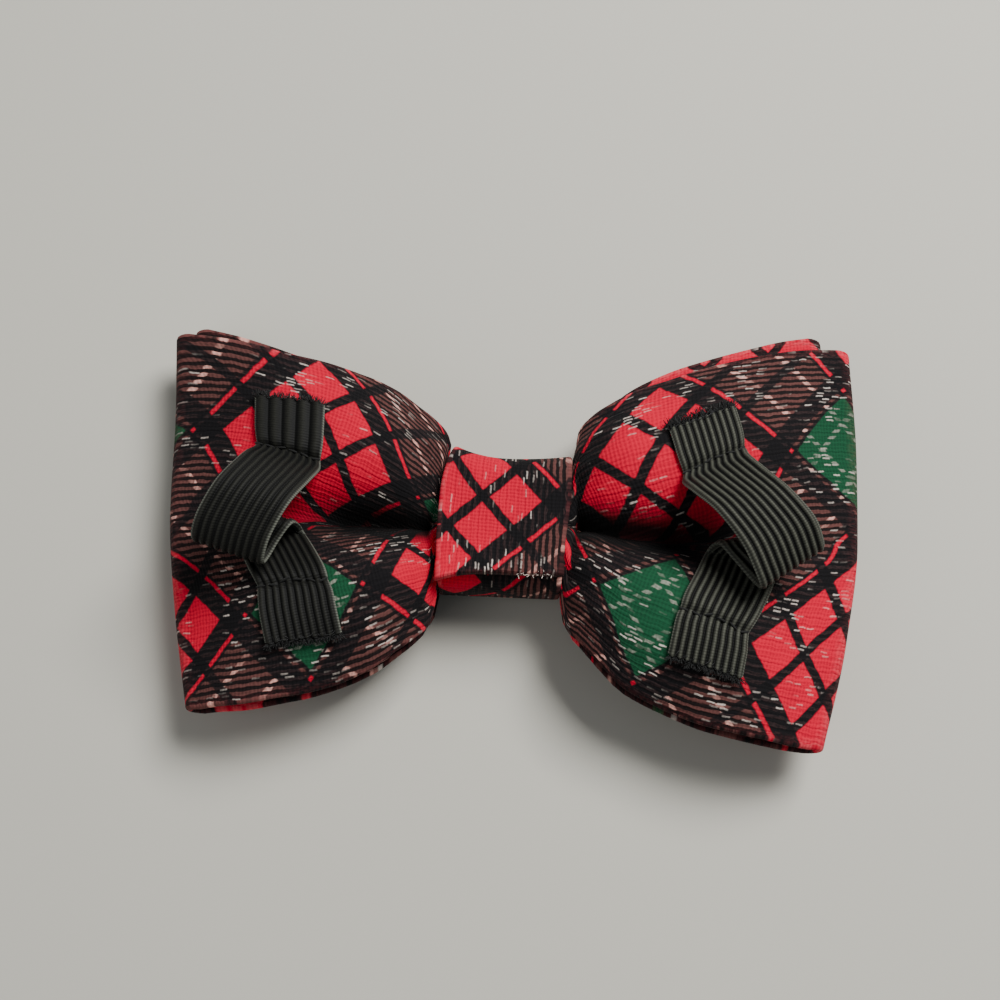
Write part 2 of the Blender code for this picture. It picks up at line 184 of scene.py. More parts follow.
# %% [markdown]
# ## The four panels of cloth
# Each bow is one band of doubled cotton, so a wing has an upper and a lower panel that join in a rounded
# fold at the wing's end. The two bows together have four panels, stacked. A panel's cross-section is worked
# out from how far the cloth leans at each place, because cloth that leans more also reaches less far across:
# the valley and the drooping rims then get the right width by themselves.

# %% Panels
BACK_PANEL, BACK_LINING, FRONT_LINING, FRONT_PANEL = range(4)
PLEAT_SHARE = {BACK_PANEL: 1.0, BACK_LINING: 0.12, FRONT_LINING: 0.12, FRONT_PANEL: 0.6}
FRONT_SIDE = (FRONT_LINING, FRONT_PANEL)
SECTION_SAMPLES = 81
SEAT_LEVEL = CLOTH + FRONT_LOFT + BOW_GAP / 2
LINING_STEP = (CLOTH + BOW_GAP) / 2
KNOT_LEVELS = (
    KNOT_LIFT + KNOT_DEPTH - 2 * WRAP - WRAP_GAP - PIECE_GAP - CLOTH / 2,
    SEAT_LEVEL + LINING_STEP,
    SEAT_LEVEL - LINING_STEP,
    KNOT_LIFT + WRAP + PIECE_GAP + CLOTH / 2,
)
LOFT_LEVELS = (
    SEAT_LEVEL + LINING_STEP + BACK_LOFT,
    SEAT_LEVEL + LINING_STEP,
    SEAT_LEVEL - LINING_STEP,
    CLOTH / 2 - FACE_PRESS,
)
FOLD_BASE = CLOTH / 2 + FOLD_LIFT
FOLD_LEVELS = (
    FOLD_BASE + 2 * END_FOLD + CLOTH + BOW_GAP,
    FOLD_BASE + END_FOLD + CLOTH + BOW_GAP,
    FOLD_BASE + END_FOLD,
    FOLD_BASE,
)


OUT_WAY = {"left": -1, "right": 1}


def knot_edge(side, y):
    """How far the knot's edge stands out on one side at a height y, as a share of its half width."""
    return from_table(KNOT_ROWS, KNOT_COLUMNS, side, y / (KNOT_HEIGHT / 2))


def squeezed(y, z, strength):
    """Heights y on the knot's lower side, drawn in below its waist; strength is 1 in the knot."""
    below = np.clip((KNOT_WAIST - z) / KNOT_WAIST, 0, 1)
    return np.where(y < 0, y * (1 - KNOT_SQUEEZE * strength * below**2), y)


def pleat_section(pleat):
    """Half a gathered section from crease to rim: its places and heights, for a half height of 1."""
    across = np.linspace(0, 1, SECTION_SAMPLES)
    lean = np.radians(from_table(LEAN_ROWS, LEAN_COLUMNS, "lean", across)) * pleat
    y, z = (
        np.concatenate([[0], np.cumsum((way[1:] + way[:-1]) / 2 * across[1])])
        for way in (np.cos(lean), np.sin(lean))
    )
    return across, y / y[-1], (z - z.max()) / y[-1]


def panel_row(side, panel, along, turns):
    """The points across a panel at a share along a wing, for turns from -1, lower rim, to 1, upper rim."""
    level = KNOT_LEVELS[panel]
    full = LOFT_LEVELS[panel] + (FOLD_LEVELS[panel] - LOFT_LEVELS[panel]) * wing_value("settle", along)
    level = level + (full - level) * wing_value("rise", along)
    inset = FRONT_INSET * (1 - along) if panel in FRONT_SIDE else 0.0
    held_half = KNOT_HEIGHT / 2 - WRAP - PIECE_GAP - RIM_ROOM
    half = held_half + (HEIGHT[side] / 2 - held_half) * wing_value(side + "_spread", along) - inset
    across, out, drop = pleat_section(wing_value("pleat", along) * PLEAT_SHARE[panel])
    drift = HEIGHT[side] * wing_value(side + "_drift", along)
    y = half * np.interp(abs(turns), across, out) * np.sign(turns) + drift
    facing = 1 if panel in (BACK_PANEL, FRONT_LINING) else -1
    z = level + facing * half * np.interp(abs(turns), across, drop)
    reach = REACH[side]
    if panel == FRONT_PANEL:
        z = np.maximum(z, CLOTH / 2)
    if panel in FRONT_SIDE:
        reach = reach - FRONT_TRIM[side]
        y = y + FRONT_SHIFT[side] * wing_value("shift", along)
    near_knot = (1 - along) ** KNOT_FADE
    y = squeezed(y, z, near_knot)
    ends = 1 + (from_table(END_ROWS, END_COLUMNS, side, turns) - 1) * along**2
    edge = (knot_edge(side, y) - 1) * KNOT_WIDTH / 2 * near_knot
    x = WING_START + (reach - END_FOLD / 2 - WING_START) * along * ends + edge
    return np.stack([OUT_WAY[side] * x, y, z], axis=-1)


print("levels of the panels at full loft (mm):", [round(v, 2) for v in LOFT_LEVELS])

# %% [markdown]
# ## Small folds in the cloth
# A gathered wing isn't smooth. Short pleats run out from under the knot and fade, the cloth has shallow
# dents between them, and one crease runs along its middle, pressed in further than the rest. All of these are
# pressed inwards from the smooth panel and never outwards, so nothing they do can reach the elastic or the
# knot.
# The crease is also darkened in the cloth's colour, as painted shade.

# %% Dents and gathers
GATHER_COLUMNS = ("side", "turn", "width", "depth", "length")
GATHER_ROWS = (
    ("left", 0.86, 0.10, 0.55, 0.26),
    ("left", 0.62, 0.11, 0.45, 0.20),
    ("left", 0.38, 0.10, 0.40, 0.16),
    ("left", -0.34, 0.10, 0.50, 0.20),
    ("left", -0.60, 0.12, 0.55, 0.24),
    ("left", -0.84, 0.09, 0.50, 0.30),
    ("right", 0.88, 0.09, 0.60, 0.30),
    ("right", 0.66, 0.10, 0.55, 0.22),
    ("right", 0.40, 0.11, 0.45, 0.18),
    ("right", -0.30, 0.10, 0.45, 0.22),
    ("right", -0.55, 0.11, 0.60, 0.26),
    ("right", -0.82, 0.10, 0.55, 0.30),
)
DENT_COLUMNS = ("side", "along", "turn", "long", "wide", "depth")
DENT_ROWS = (
    ("left", 0.80, 0.62, 0.16, 0.26, 0.35),
    ("left", 0.74, -0.66, 0.18, 0.22, 0.40),
    ("left", 0.93, -0.10, 0.08, 0.34, 0.25),
    ("right", 0.72, 0.74, 0.15, 0.20, 0.35),
    ("right", 0.86, -0.34, 0.12, 0.30, 0.40),
    ("right", 0.42, -0.52, 0.14, 0.18, 0.30),
)
CREASE_DEPTH = 2.0
CREASE_WIDTH = 0.075
CREASE_START = 0.05
CREASE_END = {"left": 0.46, "right": 0.62}
CREASE_FADE = 0.6
# Painted shade along the middle crease: how wide it is, how far out it reaches and how strong it is.
SHADE_WIDTH = 0.18
SHADE_REACH = 1.4
SHADE_GAIN = 1.7


def creased(side, along, turns, width, reach=1.0):
    """How strong the wing's dark middle crease is, from 0 to 1. reach makes it longer or shorter."""
    start = min(along / CREASE_START, 1.0)
    end = np.clip(1 - along / (CREASE_END[side] * reach), 0, 1) ** CREASE_FADE
    return start * end * bell(turns / width)


def pressed_in(side, along, turns):
    """How far the folds press the cloth in at a share along a wing, in millimetres."""
    depth = CREASE_DEPTH * creased(side, along, turns, CREASE_WIDTH)
    for row in GATHER_ROWS:
        g = dict(zip(GATHER_COLUMNS, row))
        if g["side"] == side:
            depth += g["depth"] * bell((turns - g["turn"]) / g["width"]) * bell(along / g["length"])
    for row in DENT_ROWS:
        d = dict(zip(DENT_COLUMNS, row))
        if d["side"] == side:
            near = bell((along - d["along"]) / d["long"])
            depth += d["depth"] * near * bell((turns - d["turn"]) / d["wide"])
    return depth


print("gathers:", len(GATHER_ROWS), "dents:", len(DENT_ROWS))

# %% [markdown]
# ## From a middle surface to cloth with a thickness
# Cloth is modelled as a middle surface with a wall to each side. Making the wall by hand, instead of with a
# modifier, gives the rims the rounded edge of folded cotton, and lets the wall's thickness change where a
# row of stitches presses it. The surface is a grid, so every vertex also knows its place on the flat cloth.

# %% A wall with rounded rims
RIM_POINTS = 4


def unit(vectors):
    """Vectors scaled to a length of 1."""
    return vectors / np.maximum(np.linalg.norm(vectors, axis=-1, keepdims=True), 1e-9)


def grid_normals(mid, ring):
    """The directions that stand square on a grid of points; ring says that its last row joins its first."""
    if ring:
        along = np.roll(mid, -1, axis=0) - np.roll(mid, 1, axis=0)
    else:
        along = np.gradient(mid, axis=0)
    return unit(np.cross(unit(along), unit(np.gradient(mid, axis=1))))


def walled_mesh(name, mid, wall, ring, layers):
    """A closed piece round a middle surface, in millimetres. layers holds the grid's values by name."""
    rows, columns = mid.shape[:2]
    normal = grid_normals(mid, ring)
    half = (np.broadcast_to(wall, (rows, columns)) / 2)[..., None]
    angles = np.pi * np.arange(1, RIM_POINTS + 1) / (RIM_POINTS + 1)
    sections = [mid + normal * half]
    pick = [np.arange(columns)]
    for edge, inner, first in ((-1, -2, 1), (0, 1, -1)):
        away = unit(mid[:, edge] - mid[:, inner])
        for angle in angles:
            turn = first * math.cos(angle) * normal[:, edge] + math.sin(angle) * away
            sections.append((mid[:, edge] + turn * half[:, edge])[:, None])
            pick.append(np.array([edge % columns]))
        if edge == -1:
            sections.append((mid - normal * half)[:, ::-1])
            pick.append(np.arange(columns)[::-1])
    points = np.concatenate(sections, axis=1)
    source = np.concatenate(pick)
    around = points.shape[1]
    index = np.arange(rows * around).reshape(rows, around)
    here = index if ring else index[:-1]
    there = np.roll(index, -1, axis=0) if ring else index[1:]
    corners = [here, there, np.roll(there, -1, axis=1), np.roll(here, -1, axis=1)]
    quads = np.stack(corners, axis=-1).reshape(-1, 4)
    faces = quads.tolist()
    if not ring:
        for row, flip in ((0, False), (rows - 1, True)):
            outer = index[row, :columns]
            inner = index[row, columns + RIM_POINTS : 2 * columns + RIM_POINTS][::-1]
            caps = [[int(v) for v in four] for four in zip(outer, outer[1:], inner[1:], inner)]
            caps.append([int(v) for v in index[row, columns - 1 : columns + RIM_POINTS + 1]])
            caps.append([int(v) for v in index[row, 2 * columns + RIM_POINTS - 1 :]] + [int(index[row, 0])])
            faces += [cap[::-1] if flip else cap for cap in caps]
    flat = (points.reshape(-1, 3) + MOVED) * MM
    if enclosed(flat, quads) < 0:
        faces = [face[::-1] for face in faces]
    mesh = bpy.data.meshes.new(name)
    mesh.from_pydata(flat.tolist(), [], faces)
    mesh.shade_smooth()
    for layer, values in layers.items():
        spread = values[:, source].reshape(rows * around, -1)
        if spread.shape[1] == 2:
            loops = np.zeros(len(mesh.loops), dtype=np.int32)
            mesh.loops.foreach_get("vertex_index", loops)
            mesh.uv_layers.new(name=layer).data.foreach_set("uv", spread[loops].astype(np.float32).ravel())
        else:
            own = mesh.attributes.new(layer, "FLOAT", "POINT")
            own.data.foreach_set("value", spread[:, 0].astype(np.float32))
    mesh.validate()
    piece = bpy.data.objects.new(name, mesh)
    bpy.context.scene.collection.objects.link(piece)
    return piece


def enclosed(points, quads):
    """The signed volume inside a mesh of quads: below zero if its faces point inwards."""
    a, b, c, d = (points[quads[:, k]] for k in range(4))
    return float((a * (np.cross(b, c) + np.cross(c, d))).sum() / 6)


print("rims are rounded with", RIM_POINTS, "points")

# %% [markdown]
# ## The camera's place
# The picture was taken from above, 72 degrees up, from about 0.2 m away, which gives the slight perspective
# of a close picture. The camera's place comes this early because the tartan is laid from given places in the
# picture: a place in the picture is followed down to the cloth that it shows.

# %% Camera place
CAMERA_TILT = math.radians(72.0)
CAMERA_TURN = math.radians(2.5)
CAMERA_AWAY = 205.0
CAMERA_AIM = np.array([-0.7, 6.8, 0.0])
PICTURE_FOCUS = 1408.2
PICTURE_WIDTH = 1000.0


def turned(vector):
    """A vector turned about the upright axis, as the camera is."""
    cos_turn, sin_turn = math.cos(CAMERA_TURN), math.sin(CAMERA_TURN)
    across, away, up = vector
    return np.array([cos_turn * across - sin_turn * away, sin_turn * across + cos_turn * away, up])


VIEW_RIGHT = turned((1.0, 0.0, 0.0))
VIEW_UP = turned((0.0, math.sin(CAMERA_TILT), math.cos(CAMERA_TILT)))
VIEW_AHEAD = turned((0.0, math.cos(CAMERA_TILT), -math.sin(CAMERA_TILT)))
CAMERA_STAND = turned(CAMERA_AIM) - CAMERA_AWAY * VIEW_AHEAD


def seen_at(points):
    """The pixels of the picture, across and down, where points are seen."""
    away = points - CAMERA_STAND
    scale = PICTURE_FOCUS / (away @ VIEW_AHEAD)
    return PICTURE_WIDTH / 2 + scale * (away @ VIEW_RIGHT), PICTURE_WIDTH / 2 - scale * (away @ VIEW_UP)


def under_pixel(across, down, level):
    """The points at one level that pixels of the picture show."""
    right = (across - PICTURE_WIDTH / 2) / PICTURE_FOCUS
    up = (PICTURE_WIDTH / 2 - down) / PICTURE_FOCUS
    way = VIEW_AHEAD + right[:, None] * VIEW_RIGHT + up[:, None] * VIEW_UP
    return CAMERA_STAND + (level - CAMERA_STAND[2]) / way[:, 2:] * way


print("camera at (mm)", np.round(CAMERA_STAND, 1))

# %% [markdown]
# ## Where the tartan lies on the cloth
# The sett is printed at 45 degrees to the wing, so it is read in two coordinates on the flat cloth, one
# along each of its diagonals. Both are 0 at the middle of a red block. The cloth was skewed as it was
# gathered, more on one wing than on the other. So a few corners and middles of blocks were read off, each
# as a pixel with its two coordinates, and the smoothest skew that brings them there is worked out below.

# %% Anchors of the tartan
ANCHOR_COLUMNS = ("pixel_across", "pixel_down", "sett_down", "sett_up")
WING_ANCHORS = {
    ("left", "upper"): (
        (323, 381, -6.65, 6.65), (348, 428, 0, 6.65), (365, 475, 6.65, 6.65), (331, 488, 6.65, 0),
        (222, 430, -9.3, -9.3), (373, 393, -2.65, 12.45), (386, 434, 2.65, 12.45), (392, 444, 4, 12.45),
        (404, 479, 9.3, 12.45), (401, 504, 12.45, 9.3), (378, 508, 12.45, 4), (206, 445, -9.3, -12.45),
        (230, 469, -4, -12.45), (207, 413, -12.45, -9.3), (235, 394, -12.45, -4), (243, 385, -12.45, -2.65),
        (274, 366, -12.45, 2.65), (189, 427, -12.45, -12.45),
    ),
    ("left", "lower"): (
        (194, 625, 6.65, -31.35), (173, 548, -2.65, -25.55), (200, 576, 2.65, -25.55), (207, 582, 4, -25.55),
        (231, 605, 9.3, -25.55), (246, 618, 12.45, -25.55), (208, 667, 12.45, -34), (234, 634, 12.45, -28.7),
        (359, 585, 25.55, -12.45), (318, 674, 25.55, -25.55), (410, 572, 31.35, -6.65), (385, 576, 28.7, -9.3),
        (408, 545, 28.7, -4), (432, 570, 34, -4), (421, 597, 34, -9.3), (370, 566, 25.55, -9.3),
        (393, 538, 25.55, -4), (374, 598, 28.7, -12.45), (409, 614, 34, -12.45),
    ),
    ("right", "upper"): (
        (659, 407, -6.65, 6.65), (635, 455, -6.65, 0), (611, 501, -6.65, -6.65), (670, 484, 0, 0),
        (647, 512, 0, -6.65), (697, 510, 6.65, 0), (588, 457, -12.45, -2.65), (606, 420, -12.45, 2.65),
        (568, 498, -12.45, -9.3), (581, 467, -12.45, -4), (804, 449, 13.2, 13.2), (854, 398, 13.2, 24.8),
        (856, 501, 24.8, 13.2), (748, 418, 4, 12.45), (779, 439, 9.3, 12.45), (795, 455, 12.45, 12.45),
        (782, 468, 12.45, 9.3), (763, 452, 9.3, 9.3), (703, 383, -3.3, 12.45),
    ),
    ("right", "lower"): (
        (594, 587, 12.45, -25.55), (630, 678, 25.55, -25.55), (602, 591, 13.2, -24.8), (672, 554, 13.2, -13.2),
        (637, 674, 24.8, -24.8), (775, 652, 31.35, -6.65), (816, 616, 31.35, 0), (801, 697, 38, -6.65),
        (835, 658, 38, 0), (816, 739, 44.65, -6.65), (754, 703, 35.35, -12.45), (773, 738, 40.65, -12.45),
        (826, 565, 25.55, 4), (852, 545, 25.55, 9.3), (800, 580, 25.55, 0), (716, 645, 25.55, -12.45),
    ),
}
KNOT_ANCHORS = (
    (516, 500, 6.65, 6.65), (476, 526, 6.65, 0), (483, 466, 0, 6.65), (527, 542, 12.45, 4),
    (557, 517, 12.45, 9.3), (492, 571, 12.45, -2.65), (519, 550, 12.45, 2.65), (535, 466, 4, 12.45),
    (561, 484, 9.3, 12.45), (452, 553, 6.65, -6.65),
)
wing_count = sum(len(rows) for rows in WING_ANCHORS.values())
print("anchors on the wings:", wing_count, "on the knot:", len(KNOT_ANCHORS))

# %% [markdown]
# ## Fitting the skew
# The skew is a sum of a few plain terms in the way out along the wing and across it. One more pair of terms
# jumps at the middle fold and fades outwards, because near the knot cloth is lost to sight in that fold.
# Least squares finds how much of each term brings the anchors to their places. A small penalty on every
# term but the first keeps the skew smooth where there are no anchors.

# %% Cloth coordinates
HALF_CLOTH = {"left": 27.3, "right": 29.1}
WING_SPAN = 45.0
SKEW_PENALTY = 0.02
FIT_ROWS = 160
FIT_TURNS = 161
FIT_NEAR = 2.2


def back_row(side, along, turns):
    """A row across the back's cloth with its folds pressed in."""
    row = panel_row(side, BACK_PANEL, along, turns)
    row[:, 2] -= pressed_in(side, along, turns)
    return row


def way_out(grid):
    """How far along the cloth each point of a wing's grid is from the middle of the bow."""
    steps = np.linalg.norm(np.diff(grid, axis=0), axis=2)
    return abs(grid[0, :, 0]) + np.concatenate([np.zeros((1, grid.shape[1])), np.cumsum(steps, axis=0)])


def plain_place(side, way, turns):
    """The sett's two coordinates on cloth that isn't skewed."""
    across = OUT_WAY[side] * way
    up = turns * HALF_CLOTH[side]
    return np.stack([across - up, across + up], axis=-1) / math.sqrt(2)


def skew_terms(way, turns, along):
    """The terms that the skew is a sum of, one in each place of the last axis."""
    out = way / WING_SPAN - 0.5
    jump = np.sign(turns) * (1 - along) ** 2
    plain = [np.ones_like(out), out, turns]
    square = [out**2, out * turns, turns**2]
    cubic = [out**3, out**2 * turns, out * turns**2, turns**3]
    return np.stack(plain + square + cubic + [jump, jump * abs(turns)], axis=-1)


def fitted_skew(side):
    """How much of each term brings one wing's anchors to their places, for the two coordinates."""
    turns = np.linspace(-1, 1, FIT_TURNS)
    alongs = np.linspace(0, 1, FIT_ROWS)
    grid = np.array([back_row(side, along, turns) for along in alongs])
    way = way_out(grid)
    across, down = seen_at(grid)
    found, wanted = [], []
    for half, sign in (("upper", 1), ("lower", -1)):
        for row in WING_ANCHORS[(side, half)]:
            anchor = dict(zip(ANCHOR_COLUMNS, row))
            off = np.hypot(across - anchor["pixel_across"], down - anchor["pixel_down"])
            off = np.where(turns * sign > 0, off, np.inf)
            shown = np.where(off <= max(FIT_NEAR, off.min()), grid[..., 2], -np.inf)
            found.append(np.unravel_index(np.argmax(shown), shown.shape))
            wanted.append((anchor["sett_down"], anchor["sett_up"]))
    rows, columns = np.array(found).T
    terms = skew_terms(way[rows, columns], turns[columns], alongs[rows])
    off_plain = np.array(wanted) - plain_place(side, way[rows, columns], turns[columns])
    penalty = SKEW_PENALTY * np.eye(terms.shape[1])
    penalty[0, 0] = 0.0
    weights = np.linalg.solve(terms.T @ terms + penalty, terms.T @ off_plain)
    left_over = np.sqrt(np.mean((terms @ weights - off_plain) ** 2))
    print(side, "wing: anchors land within", round(float(left_over), 2), "mm")
    return weights


SKEW = {side: fitted_skew(side) for side in ("left", "right")}


def tartan_place(side, way, turns, along):
    """The sett's two coordinates, in millimetres, from the way out along a wing and across it."""
    return plain_place(side, way, turns) + skew_terms(way, turns, along) @ SKEW[side]


# %% [markdown]
# ## The two bows
# One band of cloth runs from the knot out along a wing's upper panel, round the outer fold, back along the
# lower panel, through the knot and round the other wing. A grid with one row for each station of that walk
# is therefore a closed ring, and the wall is built round it. The upper bow gets more stations where it shows.
# The lower bow's print is shifted on the right, so that a thin red edge peeks out at its upper corner.

# %% Build the bows
FOLD_STEPS = 9
RIM_WEAR_AND_HIGHLIGHT = 0.965
BACK_SETT_SHIFT = {"left": (0.0, 0.0), "right": (0.0, 0.0)}
FRONT_SETT_SHIFT = {"left": (0.0, 0.0), "right": (0.0, 19.0)}


def stations(count):
    """Shares along a wing, closer together near the knot where the cloth bends most."""
    even = np.linspace(0, 1, count)
    return 0.55 * even + 0.45 * even**2


def wing_walk(side, upper, lower, upper_count, lower_count, turns):
    """One wing's rows, out along its upper panel and back along its lower one, with their cloth places."""
    rows, alongs, folded, crease_shade = [], [], [], []
    for along in stations(upper_count):
        on_back = upper == BACK_PANEL
        rows.append(back_row(side, along, turns) if on_back else panel_row(side, upper, along, turns))
        alongs.append(along)
        folded.append(0.0)
        # Painted shade: the back panel's crease is darkened in the cloth's colour.
        shade = SHADE_GAIN * creased(side, along, turns, SHADE_WIDTH, SHADE_REACH)
        crease_shade.append(np.minimum(shade, 1.0) * on_back)
    top = rows[-1]
    low = panel_row(side, lower, 1.0, turns)
    radius = (top[:, 2] - low[:, 2]) / 2
    for k in range(1, FOLD_STEPS):
        angle = math.pi * k / FOLD_STEPS
        row = top.copy()
        row[:, 0] += OUT_WAY[side] * radius * math.sin(angle)
        row[:, 2] = low[:, 2] + radius * (1 + math.cos(angle))
        rows.append(row)
        alongs.append(1.0)
        folded.append(math.sin(angle))
        crease_shade.append(np.zeros_like(turns))
    for along in stations(lower_count)[::-1]:
        rows.append(panel_row(side, lower, along, turns))
        alongs.append(along)
        folded.append(0.0)
        crease_shade.append(np.zeros_like(turns))
    grid = np.array(rows)
    way = way_out(grid)
    along_grid = np.repeat(np.array(alongs)[:, None], len(turns), axis=1)
    place = tartan_place(side, way, np.broadcast_to(turns, way.shape), along_grid)
    # The rims and the outer fold are lightened to pink: partly wear, partly a painted highlight.
    near_rim = np.clip((abs(turns) - RIM_WEAR_AND_HIGHLIGHT) / (1 - RIM_WEAR_AND_HIGHLIGHT), 0, 1)
    edge = np.maximum(np.array(folded)[:, None], near_rim[None])
    return grid, place, edge, np.array(crease_shade)


def bow(name, upper, lower, upper_count, lower_count, half_columns, sett_shift):
    """One looped bow of doubled cotton. sett_shift says how far its tartan is from the back bow's."""
    half = np.linspace(0, 1, half_columns + 1)
    turns = np.concatenate([-half[:0:-1], half])
    parts = [[], [], [], []]
    for side in ("right", "left"):
        grid, place, edge, crease_shade = wing_walk(side, upper, lower, upper_count, lower_count, turns)
        for values, part in zip((grid, place + sett_shift[side], edge, crease_shade), parts):
            values = values[::-1] if side == "left" else values
            part += [values[:1].copy(), values]
        parts[0][-2][..., 0] = 0.0
    mid, place, edge, crease_shade = (np.concatenate(part) for part in parts)
    layers = {"cloth": place, "wear_and_highlight": edge[..., None], "crease_shade": crease_shade[..., None]}
    return walled_mesh(name, mid, CLOTH, True, layers)


back_cloth = bow("back_bow_cloth", BACK_PANEL, BACK_LINING, 84, 26, 52, BACK_SETT_SHIFT)
front_cloth = bow("front_bow_cloth", FRONT_LINING, FRONT_PANEL, 26, 44, 36, FRONT_SETT_SHIFT)
for piece in (back_cloth, front_cloth):
    print(piece.name, len(piece.data.vertices), "points", len(piece.data.polygons), "faces")

# %% [markdown]
# ## The knot's wrap
# A strip of the same cotton starts tucked under itself on the back, goes once round both bows and ends in
# a folded edge that is sewn down near the lower side. Seen from its end it is a flat spiral with round
# corners, so that spiral is drawn once and repeated across the strip, flared as the wings push it and with
# the same uneven edges. The strip was cut the other way of the cloth, so its twill lines run the other way
# too, and its own anchors say where the sett lies on it.

# %% Build the knot's wrap
WRAP_COLUMNS = 60
WRAP_STEP = 0.35
END_THICK = 1.5
END_REACH = 2.4
FOLD_DIP = 1.1
DIP_REACH = 9.0


def corner(centre_y, centre_z, start, stop):
    """Points round one corner of the knot, between two angles in degrees."""
    radius = KNOT_CORNER - WRAP / 2
    return [
        (centre_y + radius * math.cos(a), centre_z + radius * math.sin(a))
        for a in np.radians(np.linspace(start, stop, 13))
    ]


def wrap_path():
    """The wrap seen from its end, from its tucked start, once round, to its folded end on the back."""
    side = KNOT_HEIGHT / 2 - KNOT_CORNER
    top = KNOT_LIFT + KNOT_DEPTH - KNOT_CORNER
    under = top - WRAP - WRAP_GAP
    bottom = KNOT_LIFT + KNOT_CORNER
    outer = KNOT_LIFT + KNOT_DEPTH - WRAP / 2
    path = [(WRAP_TUCK - side, outer - WRAP - WRAP_GAP)]
    path += corner(-side, under, 90, 180)
    path += corner(-side, bottom, 180, 270)
    path += corner(side, bottom, 270, 360)
    path += corner(side, top, 0, 90)
    path += [(-side - WRAP_END, outer)]
    return np.array(path)


def resampled(path, step):
    """A path's points at even steps, with their distance along it."""
    way = np.concatenate([[0], np.cumsum(np.linalg.norm(np.diff(path, axis=0), axis=1))])
    at = np.linspace(0, way[-1], int(way[-1] / step) + 1)
    return np.stack([np.interp(at, way, path[:, k]) for k in range(path.shape[1])], axis=1), at


def wrap_column(share):
    """The wrap's points at one share across its strip, from the left edge, -1, to the right, 1."""
    side = "left" if share < 0 else "right"
    y = spiral[:, 0] + KNOT_FLARE[side] * share**2 * np.maximum(spiral[:, 0], 0) / (KNOT_HEIGHT / 2)
    y = squeezed(y, spiral[:, 1], 1.0)
    return np.stack([share * KNOT_WIDTH / 2 * knot_edge(side, y), y, spiral[:, 1]], axis=-1)


def knot_places(x, y):
    """The sett's two coordinates on the knot's flat strip, straight through its anchors."""
    anchors = {name: column(KNOT_ANCHORS, ANCHOR_COLUMNS, name) for name in ANCHOR_COLUMNS}
    spots = under_pixel(anchors["pixel_across"], anchors["pixel_down"], KNOT_LIFT + KNOT_DEPTH)
    terms = np.stack([np.ones(len(spots)), spots[:, 0], spots[:, 1]], axis=-1)
    wanted = np.stack([anchors["sett_down"], anchors["sett_up"]], axis=-1)
    weights = np.linalg.lstsq(terms, wanted, rcond=None)[0]
    return np.stack([np.ones_like(x), x, y], axis=-1) @ weights


spiral, spiral_way = resampled(wrap_path(), WRAP_STEP)
shares = np.linspace(-1, 1, WRAP_COLUMNS + 1)
wrap_mid = np.stack([wrap_column(share) for share in shares], axis=1)
to_end = (spiral_way[-1] - spiral_way)[:, None]
thick = WRAP + (END_THICK - WRAP) * np.clip(1 - to_end / END_REACH, 0, 1) ** 0.5
wrap_mid[..., 1] -= FOLD_DIP * np.clip(-shares, 0, 1) ** 3 * np.clip(1 - to_end / DIP_REACH, 0, 1) ** 2
wrap_mid[..., 2] += (thick - WRAP) / 2
flat_y = np.repeat(to_end + spiral[-1, 0], len(shares), axis=1)
# The wrap's rims and folded end are lightened to pink: partly wear, partly a painted highlight.
wrap_wear_and_highlight = np.maximum(np.clip((abs(shares) - 0.97) / 0.03, 0, 1)[None], np.clip(1 - to_end / 0.5, 0, 1))
knot_cloth = walled_mesh(
    "knot_wrap_cloth", wrap_mid, np.broadcast_to(thick, flat_y.shape), False,
    {"cloth": knot_places(wrap_mid[..., 0], flat_y), "wear_and_highlight": wrap_wear_and_highlight[..., None]},
)
print("wrap is", round(spiral_way[-1], 1), "mm long,", len(knot_cloth.data.polygons), "faces")

# %% [markdown]
# ## The elastic loops
# Each loop is a band of ribbed elastic, sewn flat at its two ends. The free middle is longer than the
# distance between the stitches, so it buckles: it humps up, swings sideways, turns back under itself and
# bends down again. A table of stations along the band says where its middle line goes and how far it turns.

# %% Tables of the elastic loops
LOOP_COLUMNS = ("down", "sway", "lift", "turn")
LOOP_ROWS = {
    "left": (
        (-0.41, 0.08, 0.00, -8.0),
        (-0.20, 0.03, 0.00, -12.0),
        (0.00, 0.00, 0.00, -16.0),
        (0.10, 0.03, 0.20, -16.0),
        (0.22, 0.15, 0.60, -17.0),
        (0.44, 0.50, 1.00, -17.0),
        (0.66, 0.84, 0.94, -17.0),
        (0.79, 0.99, 0.74, -17.0),
        (0.835, 1.02, 0.52, -17.0),
        (0.78, 0.97, 0.31, -16.0),
        (0.67, 0.80, 0.30, -13.0),
        (0.585, 0.60, 0.33, -8.0),
        (0.545, 0.47, 0.17, -4.0),
        (0.60, 0.36, 0.01, 0.0),
        (0.78, 0.00, 0.00, 3.0),
        (1.00, -0.39, 0.00, 6.0),
        (1.22, -0.58, 0.00, 9.0),
        (1.41, -0.75, 0.00, 10.0),
    ),
    "right": (
        (-0.27, -0.17, 0.00, 25.0),
        (-0.13, -0.08, 0.00, 26.0),
        (0.00, 0.00, 0.00, 27.0),
        (0.09, 0.02, 0.20, 25.0),
        (0.19, 0.14, 0.60, 22.0),
        (0.35, 0.44, 1.00, 20.0),
        (0.52, 0.77, 0.96, 25.0),
        (0.66, 0.95, 0.74, 33.0),
        (0.705, 1.00, 0.52, 35.0),
        (0.66, 0.93, 0.31, 32.0),
        (0.60, 0.78, 0.30, 22.0),
        (0.555, 0.62, 0.32, 10.0),
        (0.53, 0.53, 0.20, 3.0),
        (0.575, 0.45, 0.07, -4.0),
        (0.76, 0.27, 0.00, -12.0),
        (1.00, 0.00, 0.00, -17.0),
        (1.14, -0.07, 0.00, -16.0),
        (1.28, -0.13, 0.00, -15.0),
    ),
}
LOOP_STEPS = 240
CURVE_SAMPLES = 12


